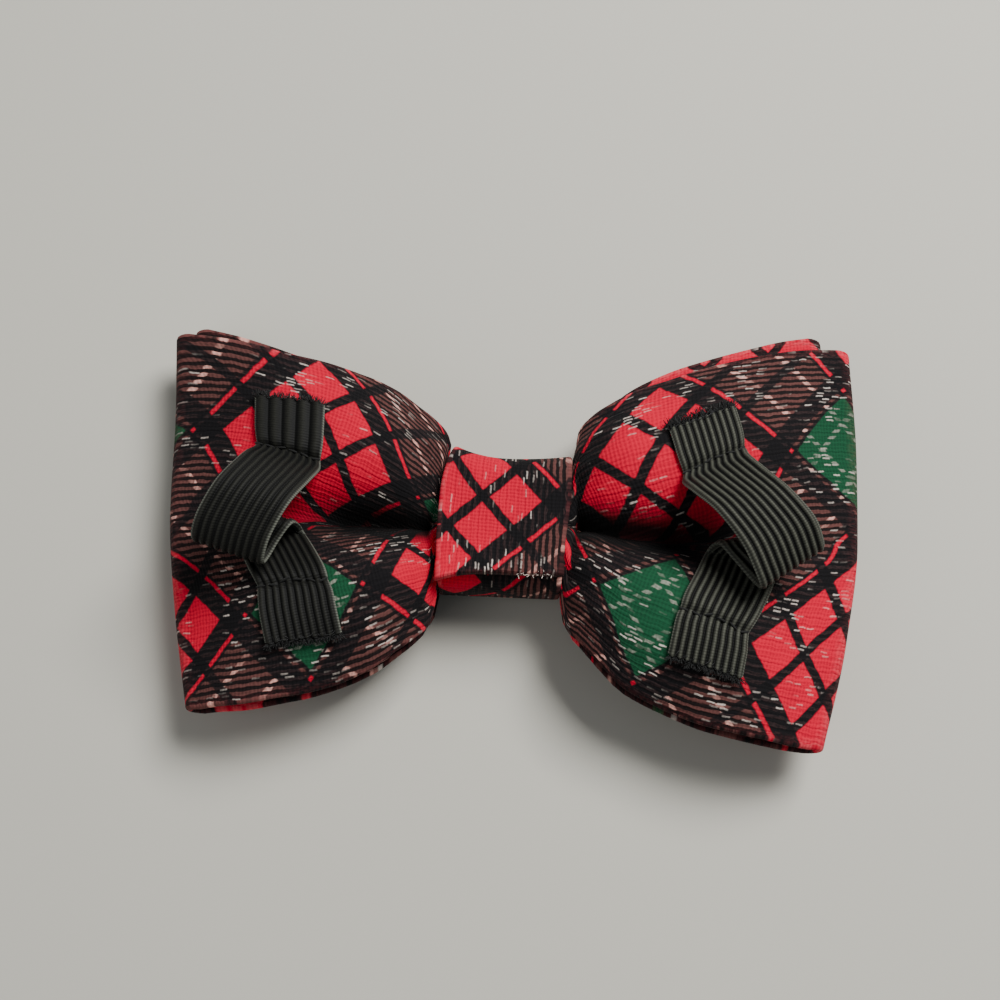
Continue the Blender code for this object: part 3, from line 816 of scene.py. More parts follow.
def curve_through(points, steps):
    """Evenly spaced points on a smooth curve through the given ones, and each given one's place."""
    ends = np.vstack([2 * points[0] - points[1], points, 2 * points[-1] - points[-2]])
    fine = []
    for k in range(len(points) - 1):
        a, b, c, d = ends[k : k + 4]
        square = 2 * a - 5 * b + 4 * c - d
        cube = 3 * b - a - 3 * c + d
        for u in np.linspace(0, 1, CURVE_SAMPLES, endpoint=False):
            fine.append(0.5 * (2 * b + (c - a) * u + square * u**2 + cube * u**3))
    fine.append(points[-1])
    fine = np.array(fine)
    way = np.concatenate([[0], np.cumsum(np.linalg.norm(np.diff(fine[:, :3], axis=0), axis=1))])
    at = np.linspace(0, way[-1], steps + 1)
    curve = np.stack([np.interp(at, way, fine[:, k]) for k in range(fine.shape[1])], axis=1)
    return curve, at, way[::CURVE_SAMPLES]


print("stations on each loop:", len(LOOP_ROWS["left"]), len(LOOP_ROWS["right"]))

# %% [markdown]
# ## Seating the elastic on the cloth
# The sewn ends lie flat on the wing. To find the cloth below each point of the band, a ray is cast straight
# down on to a surface made from the smooth panels. The band's ends then rest on it with a hair's gap.

# %% Seat on the back's surface
def back_surface():
    """The two back panels as one tree of faces that rays can be cast at, in millimetres."""
    points, faces = [], []
    turns = np.linspace(-1, 1, 81)
    for side in ("left", "right"):
        grid = np.array([panel_row(side, BACK_PANEL, along, turns) for along in np.linspace(0, 1, 90)])
        start = len(points)
        points += grid.reshape(-1, 3).tolist()
        index = np.arange(grid.shape[0] * grid.shape[1]).reshape(grid.shape[:2]) + start
        corners = [index[:-1, :-1], index[1:, :-1], index[1:, 1:], index[:-1, 1:]]
        faces += np.stack(corners, -1).reshape(-1, 4).tolist()
    return BVHTree.FromPolygons(points, faces)


BACK_TREE = back_surface()
SEAT = CLOTH / 2 + SEAT_GAP + ELASTIC / 2


def seat_over(x, y):
    """The height of the elastic's middle where it lies flat on the wing."""
    place, normal, _, _ = BACK_TREE.ray_cast((x, y, 40.0), (0, 0, -1))
    return place[2] + SEAT / max(abs(normal[2]), 0.5)


print("seat over the left wing (mm):", round(seat_over(-30.0, 8.0), 2))

# %% [markdown]
# ## The band's grid
# The band is a grid again: one row for each step along its middle line, and a column for each part of a
# rib. Each row of stitches draws the band in and presses it thin. The ribs themselves come later from a
# node tree, so here each point only gets its count of ribs from the band's edge.

# %% Build the plain bands
RIBS = 10
POINTS_A_RIB = 9
STITCH_DRAW = 0.05
DRAW_REACH = 1.6
STITCH_PRESS = 0.45
PRESS_REACH = 0.55
STITCH_FLATTEN = 0.35
TAIL_PRESS = 0.12
SELVEDGE_HIGHLIGHT_FROM = 0.475


def elastic_band(side):
    """A plain band of elastic for one loop, with its rib count and its length as layers."""
    place = LOOP_PLACE[side]
    down, sway, lift, turn = (column(LOOP_ROWS[side], LOOP_COLUMNS, name) for name in LOOP_COLUMNS)
    x = place["stitch"][0] + place["sway"] * sway
    y = place["stitch"][1] - place["spacing"] * down
    stitched = [int(np.argmax(down == share)) for share in (0.0, 1.0)]
    level = sum(seat_over(x[k], y[k]) for k in stitched) / len(stitched)
    points = np.stack([x, y, HUMP_RISE * lift, np.radians(turn)], axis=1)
    curve, way, given = curve_through(points, LOOP_STEPS)
    stitch_way = [given[k] for k in stitched]
    near = np.max([bell((way - s) / PRESS_REACH) for s in stitch_way], axis=0)
    wide = np.max([bell((way - s) / DRAW_REACH) for s in stitch_way], axis=0)
    across = np.linspace(-0.5, 0.5, RIBS * POINTS_A_RIB + 1)
    width = BAND_WIDTH * (1 - STITCH_DRAW * wide)
    offset = across[None] * width[:, None]
    grid_x = curve[:, :1] + offset * np.cos(curve[:, 3:4])
    grid_y = curve[:, 1:2] + offset * np.sin(curve[:, 3:4])
    probes = np.linspace(0, len(across) - 1, 9).astype(int)
    ground = np.array([
        np.interp(across, across[probes], [seat_over(grid_x[r, k], grid_y[r, k]) for k in probes])
        for r in range(len(curve))
    ])
    rise = np.maximum(curve[:, 2:3], 0.0)
    free = np.clip(rise / (HUMP_RISE * LIFT_OFF), 0, 1)
    free = free * free * (3 - 2 * free)
    on_tail = (way < stitch_way[0]) | (way > stitch_way[1])
    wall = ELASTIC * (1 - STITCH_PRESS * near - TAIL_PRESS * on_tail)
    grid_z = ground * (1 - free) + level * free + rise - (ELASTIC - wall)[:, None] / 2
    mid = np.stack([grid_x, grid_y, grid_z], axis=-1)
    ribs = np.repeat(((across + 0.5) * RIBS)[None], len(curve), axis=0)
    if side == "left":
        ribs = np.where((way < stitch_way[0])[:, None], ribs / 2, ribs)
    ridge = np.repeat((1 - STITCH_FLATTEN * near)[:, None], len(across), axis=1)
    # A painted highlight along the band's two edges.
    highlight_at_edge = np.clip((abs(across) - SELVEDGE_HIGHLIGHT_FROM) / (0.5 - SELVEDGE_HIGHLIGHT_FROM), 0, 1)
    selvedge_highlight = np.repeat(highlight_at_edge[None], len(curve), axis=0)
    layers = {
        "selvedge_highlight": selvedge_highlight[..., None],
        "band": np.stack([ribs, np.repeat(way[:, None], len(across), axis=1)], axis=-1),
        "rib": ribs[..., None],
        "ridge": ridge[..., None],
    }
    piece = walled_mesh(f"elastic_loop_{side}_band", mid, wall[:, None], False, layers)
    return piece, mid, way, stitch_way


bands = {side: elastic_band(side) for side in ("left", "right")}
for side, (piece, mid, way, stitch_way) in bands.items():
    print(side, "band", round(way[-1], 1), "mm long, stitched at", [round(s, 1) for s in stitch_way])

# %% [markdown]
# ## Helpers for node trees
# Nodes are small building blocks, and a tree of them is quicker to read when a helper makes each one. The
# first helper adds a node and joins its inputs, where a number is set and a socket is linked. The next ones
# start a geometry tree with named inputs, run it on a piece and keep the result as a plain mesh.

# %% Node helpers
def add_node(tree, kind, inputs=(), **settings):
    """A new node with its settings, and its inputs set from numbers or linked from sockets."""
    node = tree.nodes.new(kind)
    for name, value in settings.items():
        setattr(node, name, value)
    pairs = inputs.items() if isinstance(inputs, dict) else enumerate(inputs)
    for key, value in pairs:
        if isinstance(value, bpy.types.NodeSocket):
            tree.links.new(value, node.inputs[key])
        elif value is not None:
            node.inputs[key].default_value = value
    return node


def calc(tree, operation, *values, clamp=False):
    """The output of one math node."""
    return add_node(tree, "ShaderNodeMath", values, operation=operation, use_clamp=clamp).outputs[0]


def vector_calc(tree, operation, *values):
    """The output of one vector math node."""
    return add_node(tree, "ShaderNodeVectorMath", values, operation=operation).outputs[0]


def vector_of(tree, *parts):
    """Three numbers joined to one vector."""
    return add_node(tree, "ShaderNodeCombineXYZ", parts).outputs[0]


def noise(tree, place, scale, detail):
    """The outputs of one noise texture: a number, and three as a colour."""
    return add_node(tree, "ShaderNodeTexNoise", {"Vector": place, "Scale": scale, "Detail": detail}).outputs


def geometry_tree(name, sizes):
    """A geometry tree with geometry in and out and named sizes: the tree, its two ends and its ids."""
    tree = bpy.data.node_groups.new(name, "GeometryNodeTree")
    tree.interface.new_socket("Geometry", in_out="INPUT", socket_type="NodeSocketGeometry")
    ids = {}
    for label, value in sizes.items():
        socket = tree.interface.new_socket(label, in_out="INPUT", socket_type="NodeSocketFloat")
        socket.default_value = value
        ids[label] = socket.identifier
    tree.interface.new_socket("Geometry", in_out="OUTPUT", socket_type="NodeSocketGeometry")
    start = tree.nodes.new("NodeGroupInput")
    end = tree.nodes.new("NodeGroupOutput")
    return tree, start.outputs, end.inputs, ids


def close_tree(tree, geometry, finish, end):
    """Ends a geometry tree with real geometry and one material."""
    real = add_node(tree, "GeometryNodeRealizeInstances", (geometry,)).outputs[0]
    smooth = add_node(tree, "GeometryNodeSetShadeSmooth", (real,)).outputs[0]
    painted = add_node(tree, "GeometryNodeSetMaterial", {"Geometry": smooth, "Material": finish}).outputs[0]
    tree.links.new(painted, end[0])


def grown(name, source, tree, ids, sizes):
    """Runs a geometry tree on an object and returns the result as a plain mesh piece in its place."""
    nodes = source.modifiers.new("grow", "NODES")
    nodes.node_group = tree
    for label, value in sizes.items():
        nodes[ids[label]] = value
    graph = bpy.context.evaluated_depsgraph_get()
    result = source.evaluated_get(graph)
    mesh = bpy.data.meshes.new_from_object(result, preserve_all_data_layers=True, depsgraph=graph)
    mesh.name = name
    source.modifiers.remove(nodes)
    bpy.data.objects.remove(source, do_unlink=True)
    piece = bpy.data.objects.new(name, mesh)
    bpy.context.scene.collection.objects.link(piece)
    return piece


def guide_line(name, points, layers=()):
    """A line of edges through points in millimetres, for a tree to follow."""
    mesh = bpy.data.meshes.new(name)
    placed = (np.asarray(points) + MOVED) * MM
    mesh.from_pydata(placed.tolist(), [(k, k + 1) for k in range(len(placed) - 1)], [])
    for layer, values in dict(layers).items():
        own = mesh.attributes.new(layer, "FLOAT_VECTOR", "POINT")
        own.data.foreach_set("vector", np.asarray(values, np.float32).ravel())
    line = bpy.data.objects.new(name, mesh)
    bpy.context.scene.collection.objects.link(line)
    return line


def linear(red, green, blue):
    """A colour as the eye names it, from 0 to 255, as the numbers that a shader works in."""
    shares = [(v / 255 / 12.92) if v <= 10 else ((v / 255 + 0.055) / 1.055) ** 2.4 for v in (red, green, blue)]
    return (*shares, 1.0)


print("helpers ready")

# %% [markdown]
# ## The tartan
# A tartan is one list of stripes, the sett, used for the threads that run one way and again for those that
# cross them. Where both stripes have the same colour the cloth is solid. Where they differ, a twill shows
# them as fine diagonal lines, here a brown and dusty pink line on near black. The sett mirrors at the middle
# of the red and of the green, so half of it and a ping-pong node are enough. A colour ramp holds it: its red,
# green, blue and alpha say how much red, green, white and thin red a stripe has. White shows as broken
# dashes along the twill, and small pale glints lie in rows of their own. On the knot these rows run crossways.

# %% Sett
SETT_COLUMNS = ("stripe", "width")
SETT_ROWS = (
    ("red", 2.65),
    ("black", 1.35),
    ("red", 5.30),
    ("black", 2.90),
    ("thin_red", 0.52),
    ("black", 0.48),
    ("green", 2.70),
    ("white", 0.70),
    ("green", 2.40),
)
HALF_SETT = float(sum(column(SETT_ROWS, SETT_COLUMNS, "width")))
STRIPE_CODES = {
    "black": (0, 0, 0, 0),
    "red": (1, 0, 0, 0),
    "green": (0, 1, 0, 0),
    "white": (0, 0, 1, 0),
    "thin_red": (0, 0, 0, 1),
}
STRIPE_BLUR = 0.09
DYES = {
    "black": linear(14, 12, 14),
    "faint": linear(44, 31, 31),
    "ground": linear(24, 15, 15),
    "twill": linear(92, 56, 52),
    "green": linear(16, 70, 44),
    "red": linear(202, 2, 46),
    "white": linear(226, 212, 200),
    "pink": linear(224, 164, 150),
    "wear_and_highlight": linear(214, 92, 96),
}
HATCH_PITCH = 0.92
THREAD_PITCH = 0.38
GLINT_PITCH = 0.46
GLINT_LENGTH = 1.35
DOT_LENGTH = 1.3
print("half sett", HALF_SETT, "mm, repeat", 2 * HALF_SETT, "mm")


def sett_ramp(tree, coordinate):
    """How much of each stripe's colour the cloth has at a coordinate: red, green, white and thin red."""
    folded = calc(tree, "PINGPONG", coordinate, HALF_SETT)
    share = calc(tree, "DIVIDE", folded, HALF_SETT)
    ramp = add_node(tree, "ShaderNodeValToRGB", (share,))
    stops = ramp.color_ramp.elements
    stops[0].color = STRIPE_CODES[SETT_ROWS[0][0]]
    stops[1].color = STRIPE_CODES[SETT_ROWS[-1][0]]
    edge = 0.0
    for (before, width), (after, _) in zip(SETT_ROWS, SETT_ROWS[1:]):
        edge += width
        stops.new((edge - STRIPE_BLUR) / HALF_SETT).color = STRIPE_CODES[before]
        stops.new((edge + STRIPE_BLUR) / HALF_SETT).color = STRIPE_CODES[after]
    parts = add_node(tree, "ShaderNodeSeparateColor", (ramp.outputs["Color"],)).outputs
    return {"red": parts[0], "green": parts[1], "white": parts[2], "thin": ramp.outputs["Alpha"]}


def mixed(tree, share, first, second):
    """Two colours mixed by a share."""
    node = add_node(tree, "ShaderNodeMix", data_type="RGBA")
    for key, value in ((0, share), (6, first), (7, second)):
        if isinstance(value, bpy.types.NodeSocket):
            tree.links.new(value, node.inputs[key])
        else:
            node.inputs[key].default_value = value
    return node.outputs[2]


def swapped(tree, share, first, second):
    """The first value, or the second where share is 1."""
    return calc(tree, "ADD", first, calc(tree, "MULTIPLY", share, calc(tree, "SUBTRACT", second, first)))


def ranged(tree, value, low, high):
    """A value stretched so that low becomes 0 and high becomes 1, and held between them."""
    return add_node(tree, "ShaderNodeMapRange", (value, low, high), clamp=True).outputs[0]


def dashes(tree, run, level, pitch, length, seed):
    """Short dashes in rows: each one's random number, and a mask that is 1 on its middle."""
    row_at = calc(tree, "DIVIDE", level, pitch)
    row = calc(tree, "FLOOR", row_at)
    row_key = add_node(tree, "ShaderNodeCombineXYZ", (row, seed, 0.0)).outputs[0]
    start = add_node(tree, "ShaderNodeTexWhiteNoise", {"Vector": row_key}, noise_dimensions="3D").outputs[0]
    cell_at = calc(tree, "ADD", calc(tree, "DIVIDE", run, length), calc(tree, "MULTIPLY", start, 7.0))
    cell_key = add_node(tree, "ShaderNodeCombineXYZ", (row, calc(tree, "FLOOR", cell_at), seed)).outputs[0]
    chance = add_node(tree, "ShaderNodeTexWhiteNoise", {"Vector": cell_key}, noise_dimensions="3D").outputs[0]
    from_row = calc(tree, "ABSOLUTE", calc(tree, "SUBTRACT", calc(tree, "FRACT", row_at), 0.5))
    from_middle = calc(tree, "ABSOLUTE", calc(tree, "SUBTRACT", calc(tree, "FRACT", cell_at), 0.5))
    thin = ranged(tree, from_row, 0.32, 0.12)
    short = ranged(tree, from_middle, 0.48, 0.34)
    return chance, calc(tree, "MULTIPLY", thin, short)


def tartan_group():
    """The shader group that prints the sett on the cloth, with its twill lines, thread and glints."""
    tree = bpy.data.node_groups.new("bias tartan", "ShaderNodeTree")
    tree.interface.new_socket("Cloth", in_out="INPUT", socket_type="NodeSocketVector")
    for label, value in (("Wear And Highlight", 0.0), ("Crease Shade", 0.0), ("Glints", 1.0), ("Crossways", 0.0)):
        tree.interface.new_socket(label, in_out="INPUT", socket_type="NodeSocketFloat").default_value = value
    tree.interface.new_socket("Color", in_out="OUTPUT", socket_type="NodeSocketColor")
    tree.interface.new_socket("Height", in_out="OUTPUT", socket_type="NodeSocketFloat")
    tree.interface.new_socket("Roughness", in_out="OUTPUT", socket_type="NodeSocketFloat")
    start = tree.nodes.new("NodeGroupInput").outputs
    end = tree.nodes.new("NodeGroupOutput").inputs

    wobble = noise(tree, start["Cloth"], 0.6, 3.0)["Color"]
    shaken = vector_calc(tree, "SUBTRACT", wobble, (0.5, 0.5, 0.5))
    shaken = vector_calc(tree, "MULTIPLY", shaken, (0.5, 0.5, 0.0))
    place = vector_calc(tree, "ADD", start["Cloth"], shaken)
    axes = add_node(tree, "ShaderNodeSeparateXYZ", (place,)).outputs
    down, up = axes[0], axes[1]
    warp = sett_ramp(tree, down)
    weft = sett_ramp(tree, up)

    root = math.sqrt(2)
    across_wing = calc(tree, "DIVIDE", calc(tree, "SUBTRACT", up, down), root)
    along_wing = calc(tree, "DIVIDE", calc(tree, "ADD", up, down), root)
    level = swapped(tree, start["Crossways"], across_wing, along_wing)
    run = swapped(tree, start["Crossways"], along_wing, across_wing)
    streak_at = vector_of(tree, calc(tree, "MULTIPLY", run, 1.1), calc(tree, "MULTIPLY", level, 4.5), 0.0)
    streak = noise(tree, streak_at, 1.0, 2.0)[0]
    wave = calc(tree, "COSINE", calc(tree, "MULTIPLY", level, 2 * math.pi / HATCH_PITCH))
    wave = calc(tree, "ADD", wave, calc(tree, "MULTIPLY_ADD", streak, 1.8, -0.9))
    hatch = ranged(tree, wave, -0.20, 0.40)

    threads = [calc(tree, "SINE", calc(tree, "MULTIPLY", axis, math.pi / THREAD_PITCH)) for axis in (down, up)]
    weave = calc(tree, "MULTIPLY", *threads)

    warp_red = calc(tree, "ADD", warp["red"], warp["thin"])
    weft_red = calc(tree, "ADD", weft["red"], weft["thin"])
    warp_green = calc(tree, "ADD", warp["green"], warp["white"])
    weft_green = calc(tree, "ADD", weft["green"], weft["white"])
    warp_dyed = calc(tree, "ADD", warp_red, warp_green)
    weft_dyed = calc(tree, "ADD", weft_red, weft_green)
    both = calc(tree, "MULTIPLY", warp_dyed, weft_dyed)
    either = calc(tree, "MAXIMUM", warp_dyed, weft_dyed)
    one = calc(tree, "SUBTRACT", either, both)
    red_on_green = calc(tree, "MULTIPLY", warp_red, weft_green)
    green_on_red = calc(tree, "MULTIPLY", warp_green, weft_red)
    crossed = calc(tree, "ADD", red_on_green, green_on_red)
    solid_green = calc(tree, "MULTIPLY", warp_green, weft_green)
    solid_red = calc(tree, "MULTIPLY", warp_red, weft_red)
    white_warp = calc(tree, "MULTIPLY", warp["white"], weft_dyed)
    white_weft = calc(tree, "MULTIPLY", weft["white"], warp_dyed)
    white = calc(tree, "ADD", white_warp, white_weft, clamp=True)
    on_line = calc(tree, "ADD", level, HATCH_PITCH / 2)
    dot_chance, _ = dashes(tree, run, on_line, HATCH_PITCH, DOT_LENGTH, 2.0)
    dot = calc(tree, "MULTIPLY", hatch, ranged(tree, dot_chance, -0.10, 0.60))
    dot = calc(tree, "MULTIPLY", dot, calc(tree, "MULTIPLY_ADD", solid_green, -0.72, 1.0))
    white_dots = calc(tree, "MULTIPLY", white, dot)

    faint = calc(tree, "MULTIPLY", calc(tree, "MULTIPLY", one, hatch), ranged(tree, streak, 0.30, 0.62))
    color = mixed(tree, faint, DYES["black"], DYES["faint"])
    color = mixed(tree, crossed, color, mixed(tree, hatch, DYES["ground"], DYES["twill"]))
    color = mixed(tree, solid_green, color, DYES["green"])
    dash_dye = mixed(tree, crossed, DYES["white"], DYES["pink"])
    color = mixed(tree, calc(tree, "MULTIPLY", white_dots, 0.9), color, dash_dye)
    color = mixed(tree, solid_red, color, DYES["red"])

    patch = noise(tree, place, 0.11, 1.0)[0]
    glint_chance, glint = dashes(tree, run, level, GLINT_PITCH, GLINT_LENGTH, 5.0)
    glint_chance = calc(tree, "ADD", glint_chance, calc(tree, "MULTIPLY_ADD", patch, 0.9, -0.45))
    glint = calc(tree, "MULTIPLY", glint, ranged(tree, glint_chance, 0.88, 1.04))
    glint = calc(tree, "MULTIPLY", glint, start["Glints"])
    shine = calc(tree, "MULTIPLY", glint, calc(tree, "MULTIPLY_ADD", solid_red, -0.35, 0.66))
    color = mixed(tree, shine, color, DYES["white"])
    # Pink on the red at the rims and folds: partly wear, partly a painted highlight.
    wear_and_highlight = calc(tree, "MULTIPLY", start["Wear And Highlight"], ranged(tree, streak, 0.38, 0.58))
    wear_and_highlight = calc(tree, "MULTIPLY", wear_and_highlight, calc(tree, "MULTIPLY_ADD", solid_red, 0.42, 0.06))
    color = mixed(tree, wear_and_highlight, color, DYES["wear_and_highlight"])

    clouds = calc(tree, "MULTIPLY_ADD", noise(tree, place, 0.16, 3.0)[0], 0.5, -0.25)
    shade = calc(tree, "ADD", calc(tree, "MULTIPLY_ADD", weave, 0.2, 0.92), clouds)
    shade = calc(tree, "ADD", shade, calc(tree, "MULTIPLY_ADD", streak, 0.4, -0.2))
    # Painted shade: the crease is darkened in the base colour.
    shade = calc(tree, "MULTIPLY", shade, calc(tree, "MULTIPLY_ADD", start["Crease Shade"], -0.97, 1.0), clamp=True)
    grey = add_node(tree, "ShaderNodeCombineColor", (shade, shade, shade)).outputs[0]
    tinted = add_node(tree, "ShaderNodeMix", data_type="RGBA", blend_type="MULTIPLY")
    tinted.inputs[0].default_value = 1.0
    tree.links.new(color, tinted.inputs[6])
    tree.links.new(grey, tinted.inputs[7])
    tree.links.new(tinted.outputs[2], end["Color"])
    height = calc(tree, "ADD", calc(tree, "MULTIPLY", weave, 0.4), calc(tree, "MULTIPLY", hatch, 0.45))
    tree.links.new(calc(tree, "ADD", height, calc(tree, "MULTIPLY", glint, 0.6)), end["Height"])
    tree.links.new(calc(tree, "MULTIPLY_ADD", glint, -0.3, 0.86), end["Roughness"])
    return tree


TARTAN = tartan_group()
print("tartan group:", len(TARTAN.nodes), "nodes")

# %% [markdown]
# ## Cotton finishes
# Cotton is matt, with a little sheen at glancing angles from the fine fibres that stand off it. The weave is
# too fine for geometry, so it is a bump. The same group serves the bows and the knot.

# %% Cotton materials
BUMP_DISTANCE = 0.12 * MM


def plain_material(name, roughness, sheen):
    """A material with one shader, whose own sockets hold the values that are alike all over."""
    made = bpy.data.materials.new(name)
    made.use_nodes = True
    shader = made.node_tree.nodes["Principled BSDF"]
    shader.inputs["Roughness"].default_value = roughness
    shader.inputs["Sheen Weight"].default_value = sheen
    shader.inputs["Sheen Roughness"].default_value = 0.45
    shader.inputs["Specular IOR Level"].default_value = 0.14
    return made, made.node_tree, shader


def with_bump(tree, shader, height, strength, distance):
    """A height map as a bump on the shader."""
    bump = add_node(tree, "ShaderNodeBump", {"Height": height, "Strength": strength, "Distance": distance})
    tree.links.new(bump.outputs[0], shader.inputs["Normal"])


def cotton(name, glints, crossways):
    """Tartan cotton, read from a piece's own map of its flat cloth. crossways turns its twill lines."""
    made, tree, shader = plain_material(name, 0.86, 0.025)
    cloth_map = add_node(tree, "ShaderNodeUVMap", uv_map="cloth").outputs[0]
    wear_and_highlight = add_node(tree, "ShaderNodeAttribute", attribute_name="wear_and_highlight").outputs["Fac"]
    # The layer of painted shade for the crease.
    crease_shade = add_node(tree, "ShaderNodeAttribute", attribute_name="crease_shade").outputs["Fac"]
    group = add_node(tree, "ShaderNodeGroup", node_tree=TARTAN)
    for key, value in (("Cloth", cloth_map), ("Wear And Highlight", wear_and_highlight), ("Crease Shade", crease_shade)):
        tree.links.new(value, group.inputs[key])
    group.inputs["Glints"].default_value = glints
    group.inputs["Crossways"].default_value = crossways
    tree.links.new(group.outputs["Color"], shader.inputs["Base Color"])
    tree.links.new(group.outputs["Roughness"], shader.inputs["Roughness"])
    with_bump(tree, shader, group.outputs["Height"], 0.7, BUMP_DISTANCE)
    return made


for piece, glints, crossways in ((back_cloth, 1.0, 0.0), (front_cloth, 0.6, 0.0), (knot_cloth, 1.0, 1.0)):
    piece.data.materials.append(cotton(piece.name + "_cotton", glints, crossways))
print("cotton on", back_cloth.name, front_cloth.name, knot_cloth.name)

# %% [markdown]
# ## Elastic finish
# Woven elastic is a row of rubber cords, each wrapped in thread. The top of each rib is painted lighter, as a
# painted highlight, and the grooves between them are painted black, as painted shade. Fine wrapping threads
# cross each rib. Both loops are the same elastic, but the left loop's ridges get a darker colour, as painted
# shade, and the right loop's a lighter one, as painted light, so the ridge's colour is an input of the group.
# The selvedge, the woven edge of the band, gets a paler colour of its own, a painted highlight along the
# edges.

# %% Elastic materials
WRAP_PITCH = 0.36
# Painted shade and light: the left loop's ridges are darker, the right loop's lighter.
SHADED_AND_LIT_RIDGE_COLOURS = {"left": linear(34, 34, 29), "right": linear(78, 79, 69)}
# Colours of the painted highlight along each band's edges.
SELVEDGE_HIGHLIGHT_COLOURS = {"left": linear(104, 106, 96), "right": linear(92, 94, 84)}


def elastic_group():
    """The shader group of ribbed elastic."""
    tree = bpy.data.node_groups.new("ribbed elastic", "ShaderNodeTree")
    tree.interface.new_socket("Band", in_out="INPUT", socket_type="NodeSocketVector")
    tree.interface.new_socket("Ridge", in_out="INPUT", socket_type="NodeSocketColor")
    tree.interface.new_socket("Selvedge Highlight", in_out="INPUT", socket_type="NodeSocketColor")
    tree.interface.new_socket("Highlight At Edge", in_out="INPUT", socket_type="NodeSocketFloat")
    tree.interface.new_socket("Color", in_out="OUTPUT", socket_type="NodeSocketColor")
    tree.interface.new_socket("Height", in_out="OUTPUT", socket_type="NodeSocketFloat")
    start = tree.nodes.new("NodeGroupInput").outputs
    end = tree.nodes.new("NodeGroupOutput").inputs
    axes = add_node(tree, "ShaderNodeSeparateXYZ", (start["Band"],)).outputs
    from_top = calc(tree, "ABSOLUTE", calc(tree, "MULTIPLY_ADD", calc(tree, "FRACT", axes[0]), 2.0, -1.0))
    top = ranged(tree, from_top, 0.70, 0.10)
    turn = calc(tree, "MULTIPLY", axes[1], 2 * math.pi / WRAP_PITCH)
    slant = calc(tree, "MULTIPLY_ADD", axes[0], 2.0, turn)
    wraps = calc(tree, "MULTIPLY_ADD", calc(tree, "SINE", slant), 0.5, 0.5)
    fuzz_at = vector_calc(tree, "MULTIPLY", start["Band"], (2.2, 1.3, 1.0))
    fuzz = noise(tree, fuzz_at, 1.4, 4.0)[0]
    # Painted highlight on the rib tops, and painted shade, near black, in the grooves.
    light = calc(tree, "MULTIPLY", top, calc(tree, "MULTIPLY_ADD", wraps, 0.25, 0.65))
    light = calc(tree, "MULTIPLY", light, calc(tree, "MULTIPLY_ADD", fuzz, 1.1, 0.45), clamp=True)
    color = mixed(tree, light, linear(8, 8, 7), start["Ridge"])
    # Painted highlight along the band's edges.
    highlight_at_edge = calc(tree, "MULTIPLY", start["Highlight At Edge"], calc(tree, "MULTIPLY_ADD", wraps, 0.5, 0.4))
    tree.links.new(mixed(tree, highlight_at_edge, color, start["Selvedge Highlight"]), end["Color"])
    height = calc(tree, "ADD", calc(tree, "MULTIPLY", wraps, 0.6), calc(tree, "MULTIPLY", fuzz, 0.5))
    tree.links.new(height, end["Height"])
    return tree


ELASTIC_GROUP = elastic_group()


def elastic_finish(side):
    """Black ribbed elastic for one loop."""
    made, tree, shader = plain_material(f"elastic_{side}", 0.62, 0.02)
    band_map = add_node(tree, "ShaderNodeUVMap", uv_map="band").outputs[0]
    highlight_at_edge = add_node(tree, "ShaderNodeAttribute", attribute_name="selvedge_highlight").outputs["Fac"]
    group = add_node(tree, "ShaderNodeGroup", node_tree=ELASTIC_GROUP)
    tree.links.new(band_map, group.inputs["Band"])
    tree.links.new(highlight_at_edge, group.inputs["Highlight At Edge"])
    group.inputs["Ridge"].default_value = SHADED_AND_LIT_RIDGE_COLOURS[side]
    group.inputs["Selvedge Highlight"].default_value = SELVEDGE_HIGHLIGHT_COLOURS[side]
    tree.links.new(group.outputs["Color"], shader.inputs["Base Color"])
    with_bump(tree, shader, group.outputs["Height"], 0.6, 0.06 * MM)
    return made


def thread_finish(name, colour):
    """Spun thread, a little lighter where its fibres catch the light."""
    made, tree, shader = plain_material(name, 0.7, 0.1)
    spun = add_node(tree, "ShaderNodeTexNoise", {"Scale": 5200.0, "Detail": 3.0})
    tree.links.new(add_node(tree, "ShaderNodeTexCoord").outputs["Object"], spun.inputs["Vector"])
    lighter = tuple(min(1.0, 1.9 * v) for v in colour[:3]) + (1.0,)
    tree.links.new(mixed(tree, spun.outputs[0], colour, lighter), shader.inputs["Base Color"])
    with_bump(tree, shader, spun.outputs[0], 0.4, 0.03 * MM)
    return made


BLACK_THREAD = thread_finish("black_thread", linear(20, 20, 19))
PALE_THREAD = thread_finish("pale_thread", linear(190, 176, 166))
print("elastic group:", len(ELASTIC_GROUP.nodes), "nodes")

# %% [markdown]
# ## Ribs
# The ribs repeat across the band at an even pitch, so a node tree makes them. It reads each point's count of
# ribs, takes the part after the point as the place within one rib, and pushes the point inwards where it is
# in a groove. The depth and the roundness are inputs of the tree.

# %% Ribs from a node tree
RIB = {"Groove Depth": 0.36 * MM, "Roundness": 1.6}


